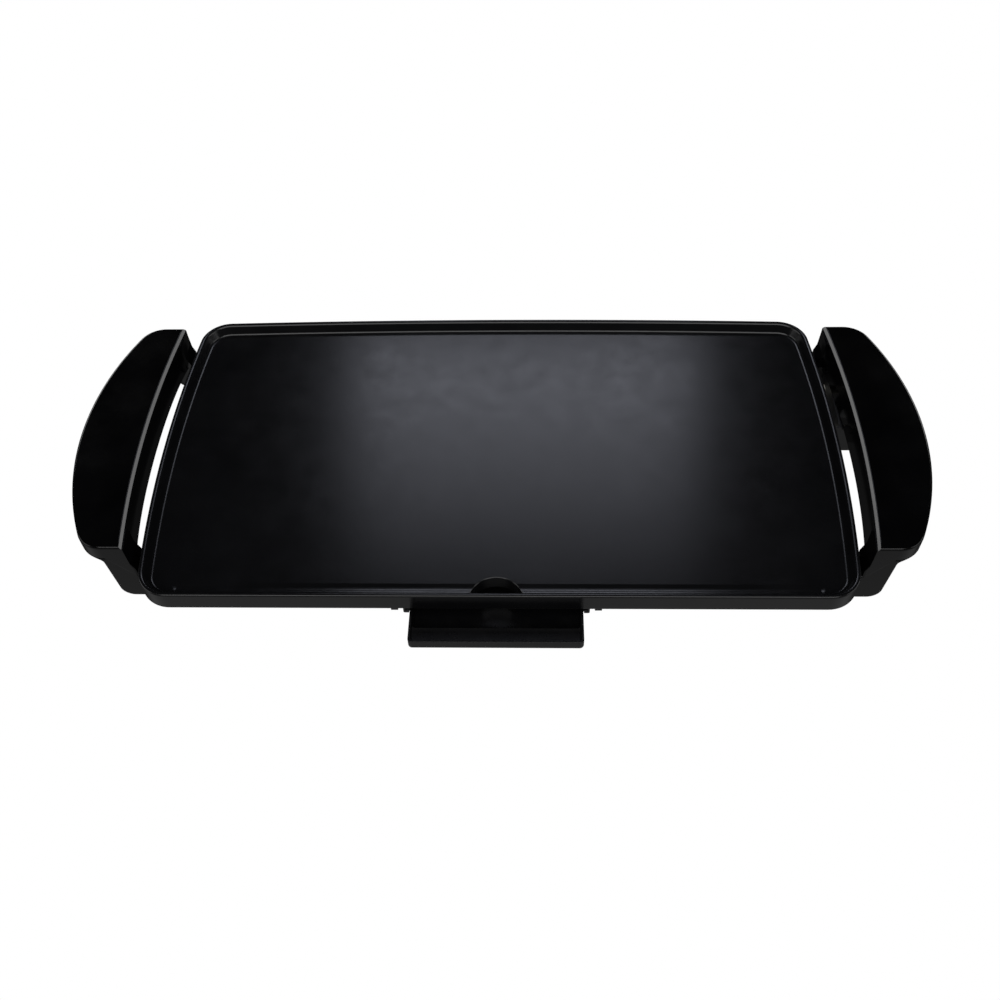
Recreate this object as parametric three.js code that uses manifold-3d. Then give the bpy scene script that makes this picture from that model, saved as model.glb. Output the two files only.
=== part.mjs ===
// Electric griddle: a cast cooking plate between two moulded carrying handles that are also its
// legs, a tubular heating element under the plate, a socket for a plug-in heat control on the
// right, and a grease tray that slides out at the front.
// Millimetres, +Z up, +X to the right, +Y to the back. The origin is on the table, under the
// centre of the whole object's box. Inside this file Y is measured from the plate's centre, and
// the group moves everything by one step at the end.
import * as THREE from "three";
import { mergeVertices } from "three/addons/utils/BufferGeometryUtils.js";
import Module from "manifold-3d";

const wasm = await Module();
wasm.setup();

// ---- Driving dimensions ----
const GAP = 0.3; // left between pieces that touch
const ROUND_SIDES = 16; // facets round a foot
const SMALL_SIDES = 10; // facets round a screw, a boss or a pin
const PLAN_SEGMENTS = 5; // pieces of a curve in plan; an arc gets twice as many
const TRAY_SEGMENTS = 3; // the same on the tray's small corners
const CORNER_PASSES = 20; // steps towards the point where a corner's circle touches its sides

// Cooking plate
const PLATE_LENGTH = 526; // across the middle of its bowed short sides
const PLATE_DEPTH = 286; // front to back through the middle
const SIDE_BOW = 9; // how far a short side bulges past its ends
const BACK_BOW = 4.5; // how far the back edge bulges past its ends
const CORNER_RADIUS = 24;
const RIM_HEIGHT = 8; // rim top above the cooking surface
const RIM_TOP_WIDTH = 3.5;
const RIM_SLOPE = 5.5; // plan width of the rim's inner wall
const EDGE_ROUND = 1.5; // rounding of the outer wall's top and bottom edges
const FLOOR_THICKNESS = 4.5;
const SKIRT_DEPTH = 16; // rim top to the bottom of the outer wall
const SKIRT_WALL = 3.5;
const TROUGH_WIDTH = 7; // grease trough along the front rim
const TROUGH_DEPTH = 1.2;
const TROUGH_CORNER = 3.2;
const DRAIN_RADIUS = 18.5;
const DRAIN_REACH = 12; // from the rim's foot to the far side of the drain
const DRAIN_CHAMFER = 1.2;
const DRAIN_COLLAR = 2.5; // wall of the drip collar under the drain
const BOSS_RADIUS = 5.5;
const BOSS_HOLE_TOP = 2; // metal left between a blind screw hole and the cooking surface

// Handles
const HANDLE_SPAN = 228; // front face to back face
const HANDLE_GAP = 9.5; // plate edge to handle, at the middle of the side
const HANDLE_BOW = 7.5; // how far the handle's inner wall curves out in the middle
const WING_WIDTH = 50; // inner wall to outer edge, at the middle
const WING_RADIUS = 240; // outer edge in plan
const WING_CORNER = 21;
const WING_RISE = 17; // wing top above the rim top
const WING_SKIRT = 13; // depth of the wing's outer skirt
const WING_BEVEL = 3; // broad bevel along the inner top edge
const BEVEL_STRETCHES = 8;
const INNER_WALL_DROP = 9; // bottom of the inner wall below the rim top
const HANDLE_WALL = 3;
const LEG_DEPTH = 19; // front to back, where it meets the plate
const LEG_FOOT_DEPTH = 10; // and at the table
const LEG_DROP = 42.5; // leg bottom below the rim top
const LEG_WIDTH = 18; // wing's inner wall to the leg's outer side, at the top
const LEG_TAPER = 2.5; // how far the leg's outer side leans in on its way down
const LEG_SPLAY = 3; // how far the leg's inner side leans in before it passes under the plate
const LEG_REACH = 29; // inner wall to the leg's far end under the plate
const LEG_CORNER = 10;
const LEG_FILLET = 6; // height of the curve that joins the leg to the skirt
const LEG_FILLET_REACH = 16;
const LEG_SCREW_CLEARANCE = 1.2; // screw head to the leg's inner face

// Rubber feet
const FOOT_HEIGHT = 2;
const FOOT_RADIUS = 4;
const FOOT_STEM_RADIUS = 2;
const FOOT_FLARE = 0.8;
const FOOT_INSET = 5.6; // handle's end face to the foot's middle

// Heating element
const ELEMENT_RADIUS = 3.5;
const ELEMENT_END_INSET = 48; // plate's short side to the tube's centre line
const ELEMENT_SIDE_INSET = 55; // plate's long side to the tube's centre line
const ELEMENT_BEND = 24;
const ELEMENT_FRONT_SINK = 36; // run over which the front end drops from the plate to its pin
const ELEMENT_BACK_SINK = 48; // and the back end
const ELEMENT_STEPS = 84;
const ELEMENT_SIDES = 8;
const CLIP_WIDTH = 10;
const CLIP_THICKNESS = 1.2;
const CLIP_TAB = 14; // tube's centre line to the end of the clip's tab
const CLIP_RUN = 140; // clips on the long runs, from the middle

// Heat control socket
const SOCKET_LENGTH = 68.5;
const SOCKET_LEG_CLEARANCE = 1.5; // socket's back end to the handle's back leg
const SOCKET_SHEET = 1.6;
const SOCKET_STANDOFF = 6.5; // plate's edge to the terminal plate
const SOCKET_REACH = 20; // plate's edge to the socket's mouth
const SOCKET_CHEEK_GAP = 1; // plate's edge to the part of a cheek that stands beside it
const TERMINAL_PLATE_DROP = 10; // its top edge below the rim top
const SOCKET_COVER_DROP = 12; // top of the shroud below the rim top
const SOCKET_FLOOR_DROP = 37; // bottom of the shroud below the rim top
const CHEEK_HEIGHT = 10; // under the plate
const SOCKET_TAB = 12;
const SOCKET_TAB_INSET = 31; // plate's edge to the inner end of a screw tab
const PIN_SPACING = 44;
const PIN_RADIUS = 2.5;
const PIN_REACH = 14; // past the terminal plate
const BUSH_LENGTH = 6.4;
const BUSH_RADIUS = 5;
const WELL_WIDTH = 14; // cast boss that takes the control's sensor rod
const WELL_SETBACK = 2; // inside the plate's edge
const WELL_LENGTH = 92;
const WELL_BORE_RADIUS = 3.6;
const WELL_BORE_DEPTH = 80;

// Drip tray and its rails
const TRAY_WIDTH = 123.5;
const TRAY_HEIGHT = 16;
const TRAY_REACH = 24.5; // past the plate's front wall
const TRAY_WALL = 2;
const TRAY_DROP = 4; // tray rim below the plate's skirt
const TRAY_SHELF_DEPTH = 11; // shallow shelf behind the front lip
const TRAY_SHELF_SINK = 2.5;
const TRAY_FRONT_HEIGHT = 6.5;
const TRAY_CORNER = 3;
const TRAY_SHELF_CORNER = 1;
const TRAY_BACK_CLEARANCE = 6.5; // to the heating element
const RUNNER_WIDTH = 2.5;
const RUNNER_THICKNESS = 1.6;
const RAIL_SHEET = 1.5;
const RAIL_FLANGE = 14;
const RAIL_CLEARANCE = 0.6; // sideways, between runner and rail
const RAIL_SETBACK = 2; // rail's front end behind the plate's front wall
const STOP_WIDTH = 5; // small lugs on the skirt outside the rails
const STOP_DROP = 3.5;
const STOP_OFFSET = 3.5; // from the rail's web

// Screws
const SCREW_RADIUS = 2;
const SCREW_HEAD_RADIUS = 3.8;
const SCREW_HEAD_HEIGHT = 2.2;
const SCREW_HEAD_RIM = 0.7; // height of the head's upright edge
const SCREW_HEAD_FLAT = 2.7; // radius of the head's flat end
const SCREW_TIP_GAP = 1; // screw's tip to the end of its blind hole
const SCREW_CLEARANCE = 0.3;

// ---- Levels and places worked out from them ----
const rimTop = FOOT_HEIGHT + LEG_DROP;
const surface = rimTop - RIM_HEIGHT;
const floorBottom = surface - FLOOR_THICKNESS;
const skirtBottom = rimTop - SKIRT_DEPTH;
const underPlate = skirtBottom - GAP; // top of whatever is screwed to the plate's bosses
const wingTop = rimTop + WING_RISE;
const halfLength = PLATE_LENGTH / 2;
const halfDepth = PLATE_DEPTH / 2;
const sideCurve = SIDE_BOW / halfDepth ** 2;
const backCurve = BACK_BOW / halfLength ** 2;
const halfSpan = HANDLE_SPAN / 2;
const frontWall = -halfDepth;
const rimFoot = frontWall + RIM_TOP_WIDTH + RIM_SLOPE;

const plateEdge = (y) => halfLength - sideCurve * y * y;
const handleInner = halfLength + HANDLE_GAP; // inner wall at the middle of the handle
const handleEnd = handleInner - HANDLE_BOW; // and at its two ends
const legInner = handleEnd - LEG_REACH;
const legScrewY = halfSpan - LEG_DEPTH + SCREW_HEAD_RADIUS + LEG_SCREW_CLEARANCE;
const footX = handleEnd + LEG_WIDTH - LEG_TAPER - LEG_CORNER - FOOT_RADIUS;
const footY = halfSpan - FOOT_INSET;

const elementX = halfLength - ELEMENT_END_INSET;
const elementY = halfDepth - ELEMENT_SIDE_INSET;
const elementZ = floorBottom - GAP - ELEMENT_RADIUS;

const terminalPlate = halfLength + SOCKET_STANDOFF; // its inner face
const socketMouth = halfLength + SOCKET_REACH;
const socketBack = halfSpan - LEG_DEPTH - SOCKET_LEG_CLEARANCE;
const socketFront = socketBack - SOCKET_LENGTH;
const socketY = (socketFront + socketBack) / 2;
const pinZ = rimTop - (SOCKET_COVER_DROP + SOCKET_FLOOR_DROP) / 2;
const pinYs = [socketY - PIN_SPACING / 2, socketY + PIN_SPACING / 2];
const bushEnd = terminalPlate - GAP;
const elementEnd = bushEnd - BUSH_LENGTH - GAP;

const trayTop = skirtBottom - TRAY_DROP;
const trayFront = frontWall - TRAY_REACH;
const trayBack = -elementY - ELEMENT_RADIUS - TRAY_BACK_CLEARANCE;
const trayHalf = TRAY_WIDTH / 2;
const railInner = trayHalf + RUNNER_WIDTH + RAIL_CLEARANCE; // inner face of the rail's web
const railFront = frontWall + RAIL_SETBACK;
const stopBack = frontWall + SKIRT_WALL + GAP;
const runnerBottom = trayTop - RUNNER_THICKNESS;

// ---- Solids ----
function solidOf(geometry) {
  const bare = geometry.clone();
  bare.deleteAttribute("normal");
  bare.deleteAttribute("uv");
  const merged = mergeVertices(bare, 1e-4);
  return new wasm.Manifold(
    new wasm.Mesh({
      numProp: 3,
      vertProperties: merged.attributes.position.array,
      triVerts: Uint32Array.from(merged.index.array),
    }),
  );
}

function geometryOf(solid) {
  const mesh = solid.getMesh();
  const geometry = new THREE.BufferGeometry();
  geometry.setAttribute("position", new THREE.BufferAttribute(mesh.vertProperties, 3));
  geometry.setIndex(new THREE.BufferAttribute(mesh.triVerts, 1));
  const flat = geometry.toNonIndexed();
  flat.computeVertexNormals();
  return flat;
}

const joined = (solids) => solids.reduce((whole, piece) => whole.add(piece));

// An outline in X and Y, raised from one level to another.
function raised(shape, low, high, curveSegments = PLAN_SEGMENTS) {
  const geometry = new THREE.ExtrudeGeometry(shape, {
    depth: high - low,
    bevelEnabled: false,
    curveSegments,
  });
  return solidOf(geometry.translate(0, 0, low));
}

// The same with its top and bottom edges rounded; the outline is the inner one of the rounding.
function raisedRound(shape, low, high, round, segments) {
  const geometry = new THREE.ExtrudeGeometry(shape, {
    depth: high - low - 2 * round.height,
    bevelThickness: round.height,
    bevelSize: round.width,
    bevelSegments: segments,
    curveSegments: PLAN_SEGMENTS,
  });
  return solidOf(geometry.translate(0, 0, low + round.height));
}

// An outline in X and Z, run along Y.
function runAlongY(shape, from, to) {
  const geometry = new THREE.ExtrudeGeometry(shape, {
    depth: to - from,
    bevelEnabled: false,
    curveSegments: PLAN_SEGMENTS,
  });
  return solidOf(geometry.rotateX(Math.PI / 2).translate(0, to, 0));
}

// An outline in Y and Z, run along X.
function runAlongX(shape, from, to) {
  const turn = new THREE.Matrix4().makeBasis(
    new THREE.Vector3(0, 1, 0),
    new THREE.Vector3(0, 0, 1),
    new THREE.Vector3(1, 0, 0),
  );
  const geometry = new THREE.ExtrudeGeometry(shape, {
    depth: to - from,
    bevelEnabled: false,
    curveSegments: PLAN_SEGMENTS,
  });
  return solidOf(geometry.applyMatrix4(turn).translate(from, 0, 0));
}

function block(low, high) {
  const size = high.map((value, axis) => value - low[axis]);
  const centre = high.map((value, axis) => (value + low[axis]) / 2);
  return solidOf(new THREE.BoxGeometry(...size).translate(...centre));
}

function post(x, y, low, high, radius) {
  const geometry = new THREE.CylinderGeometry(radius, radius, high - low, SMALL_SIDES);
  return solidOf(geometry.rotateX(Math.PI / 2).translate(x, y, (low + high) / 2));
}

function rodAlongX(from, to, y, z, radius) {
  const geometry = new THREE.CylinderGeometry(radius, radius, to - from, SMALL_SIDES);
  return solidOf(geometry.rotateZ(Math.PI / 2).translate((from + to) / 2, y, z));
}

const polygon = (points) => new THREE.Shape(points.map(([u, v]) => new THREE.Vector2(u, v)));

function roundedRectangle(x0, x1, y0, y1, radius) {
  const shape = new THREE.Shape();
  shape.absarc(x1 - radius, y0 + radius, radius, -Math.PI / 2, 0);
  shape.absarc(x1 - radius, y1 - radius, radius, 0, Math.PI / 2);
  shape.absarc(x0 + radius, y1 - radius, radius, Math.PI / 2, Math.PI);
  shape.absarc(x0 + radius, y0 + radius, radius, Math.PI, 1.5 * Math.PI);
  shape.closePath();
  return shape;
}

// ---- Cooking plate ----
// One corner of the plate: the circle that touches the bowed side and the bowed end edge.
function plateCorner(inset, endCurve) {
  const radius = CORNER_RADIUS - inset;
  let sideTouch = halfDepth - CORNER_RADIUS;
  let endTouch = halfLength - CORNER_RADIUS;
  let centre = [0, 0];
  for (let pass = 0; pass < CORNER_PASSES; pass++) {
    const sideAngle = Math.atan(2 * sideCurve * sideTouch);
    const endAngle = Math.atan(2 * endCurve * endTouch);
    centre = [
      halfLength - inset - sideCurve * sideTouch ** 2 - radius * Math.cos(sideAngle),
      halfDepth - inset - endCurve * endTouch ** 2 - radius * Math.cos(endAngle),
    ];
    sideTouch = centre[1] + radius * Math.sin(sideAngle);
    endTouch = centre[0] + radius * Math.sin(endAngle);
  }
  return {
    centre,
    radius,
    sideTouch,
    endTouch,
    sideAngle: Math.atan(2 * sideCurve * sideTouch),
    endAngle: Math.PI / 2 - Math.atan(2 * endCurve * endTouch),
  };
}

// The plate's outline, moved in by an inset: parabolas along the sides and the back.
function plateOutline(inset) {
  const back = plateCorner(inset, backCurve);
  const front = plateCorner(inset, 0);
  const side = halfLength - inset;
  const shape = new THREE.Shape();
  const arc = (corner, signX, signY, from, to) =>
    shape.absarc(signX * corner.centre[0], signY * corner.centre[1], corner.radius, from, to);
  // A parabola between two of its points has its control point where their tangents meet.
  const sideControl = side + sideCurve * front.sideTouch * back.sideTouch;
  const sideMiddle = (back.sideTouch - front.sideTouch) / 2;
  const sideX = (corner) => side - sideCurve * corner.sideTouch ** 2;
  arc(front, 1, -1, -front.endAngle, -front.sideAngle);
  shape.quadraticCurveTo(sideControl, sideMiddle, sideX(back), back.sideTouch);
  arc(back, 1, 1, back.sideAngle, back.endAngle);
  const backY = halfDepth - inset;
  const backEnd = backY - backCurve * back.endTouch ** 2;
  shape.quadraticCurveTo(0, backY + backCurve * back.endTouch ** 2, -back.endTouch, backEnd);
  arc(back, -1, 1, Math.PI - back.endAngle, Math.PI - back.sideAngle);
  shape.quadraticCurveTo(-sideControl, sideMiddle, -sideX(front), -front.sideTouch);
  arc(front, -1, -1, Math.PI + front.sideAngle, Math.PI + front.endAngle);
  shape.closePath();
  return shape;
}

// The drain: a circle cut off where it meets the foot of the front rim.
function drainOutline(grow) {
  const centreY = rimFoot + DRAIN_REACH - DRAIN_RADIUS;
  const radius = DRAIN_RADIUS + grow;
  const start = Math.asin((rimFoot - grow - centreY) / radius);
  const shape = new THREE.Shape();
  shape.absarc(0, centreY, radius, start, Math.PI - start);
  shape.closePath();
  return shape;
}

// Where the plate has a screw boss for something that hangs from it.
const clipPlaces = [
  [-CLIP_RUN, -elementY, 0, 1],
  [CLIP_RUN, -elementY, 0, 1],
  [-CLIP_RUN, elementY, 0, -1],
  [0, elementY, 0, -1],
  [CLIP_RUN, elementY, 0, -1],
  [-elementX, 0, 1, 0],
].map(([x, y, towardsX, towardsY]) => {
  const screwOffset = ELEMENT_RADIUS + BOSS_RADIUS + GAP;
  return {
    x,
    y,
    towardsX,
    towardsY,
    screw: [x + towardsX * screwOffset, y + towardsY * screwOffset],
  };
});
const legScrewX = legInner + BOSS_RADIUS + HANDLE_WALL + GAP;
const legScrews = [-1, 1].flatMap((side) =>
  [-1, 1].map((end) => ({ side, end, place: [side * legScrewX, end * legScrewY] })),
);
const socketTabX = halfLength - SOCKET_TAB_INSET;
const socketScrews = [socketFront + SOCKET_TAB / 2, socketBack - SOCKET_TAB / 2].map((y) => [
  socketTabX + SOCKET_TAB / 2,
  y,
]);
const railScrewX = railInner + RAIL_SHEET + BOSS_RADIUS + GAP;
const railScrewYs = [
  railFront + BOSS_RADIUS + SKIRT_WALL,
  trayBack - BOSS_RADIUS,
];

const bossPlaces = [
  ...clipPlaces.map((clip) => clip.screw),
  ...legScrews.map((leg) => leg.place),
  ...socketScrews,
  ...[-1, 1].flatMap((side) => railScrewYs.map((y) => [side * railScrewX, y])),
];

function griddlePlate() {
  const edge = { width: EDGE_ROUND, height: EDGE_ROUND };
  let plate = raisedRound(plateOutline(EDGE_ROUND), skirtBottom, rimTop, edge, 2);

  // Cooking recess: its wall is a quarter of an ellipse, steep at the rim and level at the foot.
  const recess = { width: RIM_SLOPE, height: RIM_HEIGHT };
  const recessTop = rimTop + 2 * RIM_HEIGHT; // its own upper rounding stays clear of the rim
  plate = plate.subtract(
    raisedRound(plateOutline(RIM_TOP_WIDTH + RIM_SLOPE), surface, recessTop, recess, 3),
  );
  plate = plate.subtract(
    raised(plateOutline(SKIRT_WALL), skirtBottom - 1, floorBottom),
  );

  // Grease trough along the front rim, with round ends.
  const troughEnd = plateEdge(rimFoot) - CORNER_RADIUS;
  const trough = roundedRectangle(
    -troughEnd,
    troughEnd,
    rimFoot,
    rimFoot + TROUGH_WIDTH,
    TROUGH_CORNER,
  );
  plate = plate.subtract(raised(trough, surface - TROUGH_DEPTH, surface + 1));

  // Drain through the trough, its edge chamfered, with a collar below that sheds the drips.
  const collarBottom = skirtBottom - GAP;
  plate = plate.add(raised(drainOutline(DRAIN_COLLAR), collarBottom, floorBottom + 1));
  plate = plate.subtract(raised(drainOutline(0), collarBottom - 1, rimTop));
  const chamfer = { width: DRAIN_CHAMFER, height: DRAIN_CHAMFER };
  const chamferTop = surface + 2 * DRAIN_CHAMFER;
  plate = plate.subtract(
    raisedRound(drainOutline(0), surface - DRAIN_CHAMFER, chamferTop, chamfer, 1),
  );

  // Boss with a blind bore for the heat control's sensor rod.
  const wellEnd = halfLength - WELL_SETBACK;
  const wellStart = wellEnd - WELL_LENGTH;
  const wellShape = new THREE.Shape();
  wellShape.moveTo(socketY + WELL_WIDTH / 2, floorBottom + 1);
  wellShape.lineTo(socketY - WELL_WIDTH / 2, floorBottom + 1);
  wellShape.lineTo(socketY - WELL_WIDTH / 2, pinZ);
  wellShape.absarc(socketY, pinZ, WELL_WIDTH / 2, Math.PI, 2 * Math.PI);
  wellShape.closePath();
  plate = plate.add(runAlongX(wellShape, wellStart, wellEnd));
  plate = plate.subtract(
    rodAlongX(wellEnd - WELL_BORE_DEPTH, wellEnd + 1, socketY, pinZ, WELL_BORE_RADIUS),
  );

  // Lugs on the skirt outside the tray's rails.
  for (const side of [-1, 1]) {
    const near = railInner + RAIL_SHEET + STOP_OFFSET;
    const [left, right] = [side * near, side * (near + STOP_WIDTH)].sort((a, b) => a - b);
    const low = skirtBottom - STOP_DROP;
    plate = plate.add(
      block([left, frontWall + EDGE_ROUND, low], [right, stopBack, skirtBottom + EDGE_ROUND]),
    );
  }

  // Screw bosses with blind holes.
  for (const [x, y] of bossPlaces) {
    plate = plate.add(post(x, y, skirtBottom, floorBottom + 1, BOSS_RADIUS));
  }
  const holeTop = surface - BOSS_HOLE_TOP;
  for (const [x, y] of bossPlaces) {
    const radius = SCREW_RADIUS + SCREW_CLEARANCE;
    plate = plate.subtract(post(x, y, skirtBottom - 1, holeTop, radius));
  }
  return plate;
}

// ---- Heating element ----
function elementPath() {
  const path = new THREE.CurvePath();
  let at = null;
  const point = (x, y, z) => new THREE.Vector3(x, y, z);
  const lineTo = (next) => {
    if (at) path.add(new THREE.LineCurve3(at, next));
    at = next;
  };
  const bendTo = (corner, next) => {
    path.add(new THREE.QuadraticBezierCurve3(at, corner, next));
    at = next;
  };
  // An S-shaped step from one straight to another that runs the same way.
  const stepTo = (leave, arrive, next) => {
    path.add(new THREE.CubicBezierCurve3(at, leave, arrive, next));
    at = next;
  };
  const [frontPin, backPin] = pinYs;
  const bend = ELEMENT_BEND;
  lineTo(point(elementEnd, frontPin, pinZ));
  lineTo(point(elementX + bend, frontPin, pinZ));
  bendTo(point(elementX, frontPin, pinZ), point(elementX, frontPin - bend, pinZ));
  const sinkEnd = frontPin - bend - ELEMENT_FRONT_SINK;
  const sinkMiddle = frontPin - bend - ELEMENT_FRONT_SINK / 2;
  stepTo(
    point(elementX, sinkMiddle, pinZ),
    point(elementX, sinkMiddle, elementZ),
    point(elementX, sinkEnd, elementZ),
  );
  lineTo(point(elementX, -elementY + bend, elementZ));
  bendTo(point(elementX, -elementY, elementZ), point(elementX - bend, -elementY, elementZ));
  lineTo(point(-elementX + bend, -elementY, elementZ));
  bendTo(point(-elementX, -elementY, elementZ), point(-elementX, -elementY + bend, elementZ));
  lineTo(point(-elementX, elementY - bend, elementZ));
  bendTo(point(-elementX, elementY, elementZ), point(-elementX + bend, elementY, elementZ));
  const stepEnd = elementX + bend / 2;
  const stepStart = stepEnd - ELEMENT_BACK_SINK;
  const stepMiddle = (stepStart + stepEnd) / 2;
  lineTo(point(stepStart, elementY, elementZ));
  stepTo(
    point(stepMiddle, elementY, elementZ),
    point(stepMiddle, backPin, pinZ),
    point(stepEnd, backPin, pinZ),
  );
  lineTo(point(elementEnd, backPin, pinZ));
  return path;
}

function heatingElement() {
  const section = new THREE.Shape();
  section.absarc(0, 0, ELEMENT_RADIUS, 0, 2 * Math.PI);
  const geometry = new THREE.ExtrudeGeometry(section, {
    steps: ELEMENT_STEPS,
    extrudePath: elementPath(),
    curveSegments: ELEMENT_SIDES / 2,
  });
  return solidOf(geometry);
}

// A spring-steel clip: it hooks round the tube and its tab is screwed to a boss beside it.
function elementClip({ x, y, towardsX }) {
  const reach = ELEMENT_RADIUS + GAP;
  const bottom = elementZ - reach;
  const sheet = CLIP_THICKNESS;
  const profile = polygon([
    [-reach - sheet, elementZ],
    [-reach - sheet, bottom - sheet],
    [reach + sheet, bottom - sheet],
    [reach + sheet, underPlate - sheet],
    [CLIP_TAB, underPlate - sheet],
    [CLIP_TAB, underPlate],
    [reach, underPlate],
    [reach, bottom],
    [-reach, bottom],
    [-reach, elementZ],
  ]);
  const hole = post(
    ELEMENT_RADIUS + BOSS_RADIUS + GAP,
    0,
    bottom,
    underPlate + 1,
    SCREW_RADIUS + SCREW_CLEARANCE,
  );
  const clip = runAlongY(profile, -CLIP_WIDTH / 2, CLIP_WIDTH / 2).subtract(hole);
  const turn = towardsX ? 0 : y < 0 ? 90 : -90;
  return clip.rotate([0, 0, turn]).translate([x, y, 0]);
}

// ---- Screws ----
// A pan-head screw driven upwards, its head under the piece that it holds.
function screw([x, y], headTop, tip) {
  const profile = [
    [0, headTop - SCREW_HEAD_HEIGHT],
    [SCREW_HEAD_FLAT, headTop - SCREW_HEAD_HEIGHT],
    [SCREW_HEAD_RADIUS, headTop - SCREW_HEAD_RIM],
    [SCREW_HEAD_RADIUS, headTop],
    [SCREW_RADIUS, headTop],
    [SCREW_RADIUS, tip - SCREW_RADIUS],
    [0, tip],
  ].map(([radius, height]) => new THREE.Vector2(radius, height));
  const geometry = new THREE.LatheGeometry(profile, SMALL_SIDES);
  return solidOf(geometry.rotateX(Math.PI / 2).translate(x, y, 0));
}

const screwTip = surface - BOSS_HOLE_TOP - SCREW_TIP_GAP;

// ---- Heat control socket ----
function terminalPin(y) {
  const from = elementEnd + GAP;
  const to = terminalPlate + SOCKET_SHEET + PIN_REACH;
  const length = to - from;
  const noseMiddle = PIN_RADIUS * Math.SQRT1_2; // the round nose, at 45 degrees
  const profile = [
    [0, 0],
    [PIN_RADIUS, 0],
    [PIN_RADIUS, length - PIN_RADIUS],
    [noseMiddle, length - PIN_RADIUS + noseMiddle],
    [0, length],
  ].map(([radius, along]) => new THREE.Vector2(radius, along));
  const geometry = new THREE.LatheGeometry(profile, SMALL_SIDES);
  return solidOf(geometry.rotateZ(-Math.PI / 2).translate(from, y, pinZ));
}

function terminalBush(y) {
  const from = elementEnd + GAP;
  const outer = rodAlongX(from, bushEnd, y, pinZ, BUSH_RADIUS);
  return outer.subtract(rodAlongX(from - 1, bushEnd + 1, y, pinZ, PIN_RADIUS + GAP));
}

// A folded sheet shroud round the terminals, open outwards: an upright terminal plate with holes,
// a cover, a floor, and two cheeks that run in under the plate to the screw tabs.
function socketGuard() {
  const sheet = SOCKET_SHEET;
  const floor = rimTop - SOCKET_FLOOR_DROP;
  const cover = rimTop - SOCKET_COVER_DROP;
  const crest = rimTop - TERMINAL_PLATE_DROP;
  const plateFace = terminalPlate + sheet;
  const pieces = [
    block([terminalPlate, socketFront, floor], [plateFace, socketBack, crest]),
    block([terminalPlate, socketFront, cover - sheet], [socketMouth, socketBack, cover]),
    block([terminalPlate, socketFront, floor], [socketMouth, socketBack, floor + sheet]),
  ];
  for (const y of [socketFront, socketBack - sheet]) {
    const beside = halfLength + SOCKET_CHEEK_GAP;
    pieces.push(block([beside, y, floor], [socketMouth, y + sheet, cover]));
    pieces.push(block([beside, y, floor], [plateFace, y + sheet, crest]));
    pieces.push(
      block([socketTabX, y, underPlate - CHEEK_HEIGHT], [plateFace, y + sheet, underPlate]),
    );
  }
  for (const [x, y] of socketScrews) {
    const half = SOCKET_TAB / 2;
    pieces.push(block([x - half, y - half, underPlate - sheet], [x + half, y + half, underPlate]));
  }
  let guard = joined(pieces);
  for (const place of socketScrews) {
    const radius = SCREW_RADIUS + SCREW_CLEARANCE;
    guard = guard.subtract(post(...place, floor, underPlate + 1, radius));
  }
  const holes = [
    [socketY, WELL_BORE_RADIUS + GAP],
    ...pinYs.map((y) => [y, PIN_RADIUS + 2 * GAP]),
  ];
  for (const [y, radius] of holes) {
    guard = guard.subtract(rodAlongX(terminalPlate - 1, plateFace + 1, y, pinZ, radius));
  }
  return guard;
}

// ---- Handles ----
// Plan of the right wing, moved in by an inset: a curved inner edge, straight ends and an arc.
function wingOutline(inset, innerInset = inset) {
  const radius = WING_RADIUS - inset;
  const corner = WING_CORNER - inset;
  const half = halfSpan - inset;
  const arcX = handleInner + WING_WIDTH - WING_RADIUS;
  const cornerY = half - corner;
  const cornerX = arcX + Math.sqrt((radius - corner) ** 2 - cornerY ** 2);
  const arcEnd = Math.atan2(cornerY, cornerX - arcX);
  const endX = handleEnd + innerInset;
  const shape = new THREE.Shape();
  shape.moveTo(endX, -half);
  shape.absarc(cornerX, -cornerY, corner, -Math.PI / 2, -arcEnd);
  shape.absarc(arcX, 0, radius, -arcEnd, arcEnd);
  shape.absarc(cornerX, cornerY, corner, arcEnd, Math.PI / 2);
  shape.lineTo(endX, half);
  shape.quadraticCurveTo(endX + 2 * HANDLE_BOW, 0, endX, -half);
  return shape;
}

// One leg, seen from the front: from the wing it drops past the plate and reaches in under it.
function legOutline(inset) {
  const bottom = FOOT_HEIGHT + inset;
  const outerTop = handleEnd + LEG_WIDTH - inset;
  const outerLow = outerTop - LEG_TAPER;
  const inner = legInner + inset;
  const underTop = underPlate - inset;
  const sideTop = wingTop - WING_SKIRT - LEG_FILLET;
  const skirtLow = wingTop - WING_SKIRT;
  const corner = LEG_CORNER - inset;
  const crownTop = wingTop - HANDLE_WALL - GAP;
  const wallX = handleEnd - LEG_SPLAY + inset;
  const shape = new THREE.Shape();
  shape.moveTo(handleEnd + inset, crownTop);
  shape.lineTo(handleEnd + inset, rimTop);
  shape.lineTo(wallX, rimTop - INNER_WALL_DROP);
  shape.lineTo(wallX, underTop);
  shape.lineTo(inner, underTop);
  shape.absarc(inner + corner, bottom + corner, corner, Math.PI, 1.5 * Math.PI);
  shape.absarc(outerLow - corner, bottom + corner, corner, 1.5 * Math.PI, 2 * Math.PI);
  shape.lineTo(outerTop, sideTop);
  shape.quadraticCurveTo(outerTop, skirtLow, outerTop + LEG_FILLET_REACH, skirtLow);
  shape.lineTo(outerTop + LEG_FILLET_REACH, crownTop);
  shape.closePath();
  return shape;
}

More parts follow.
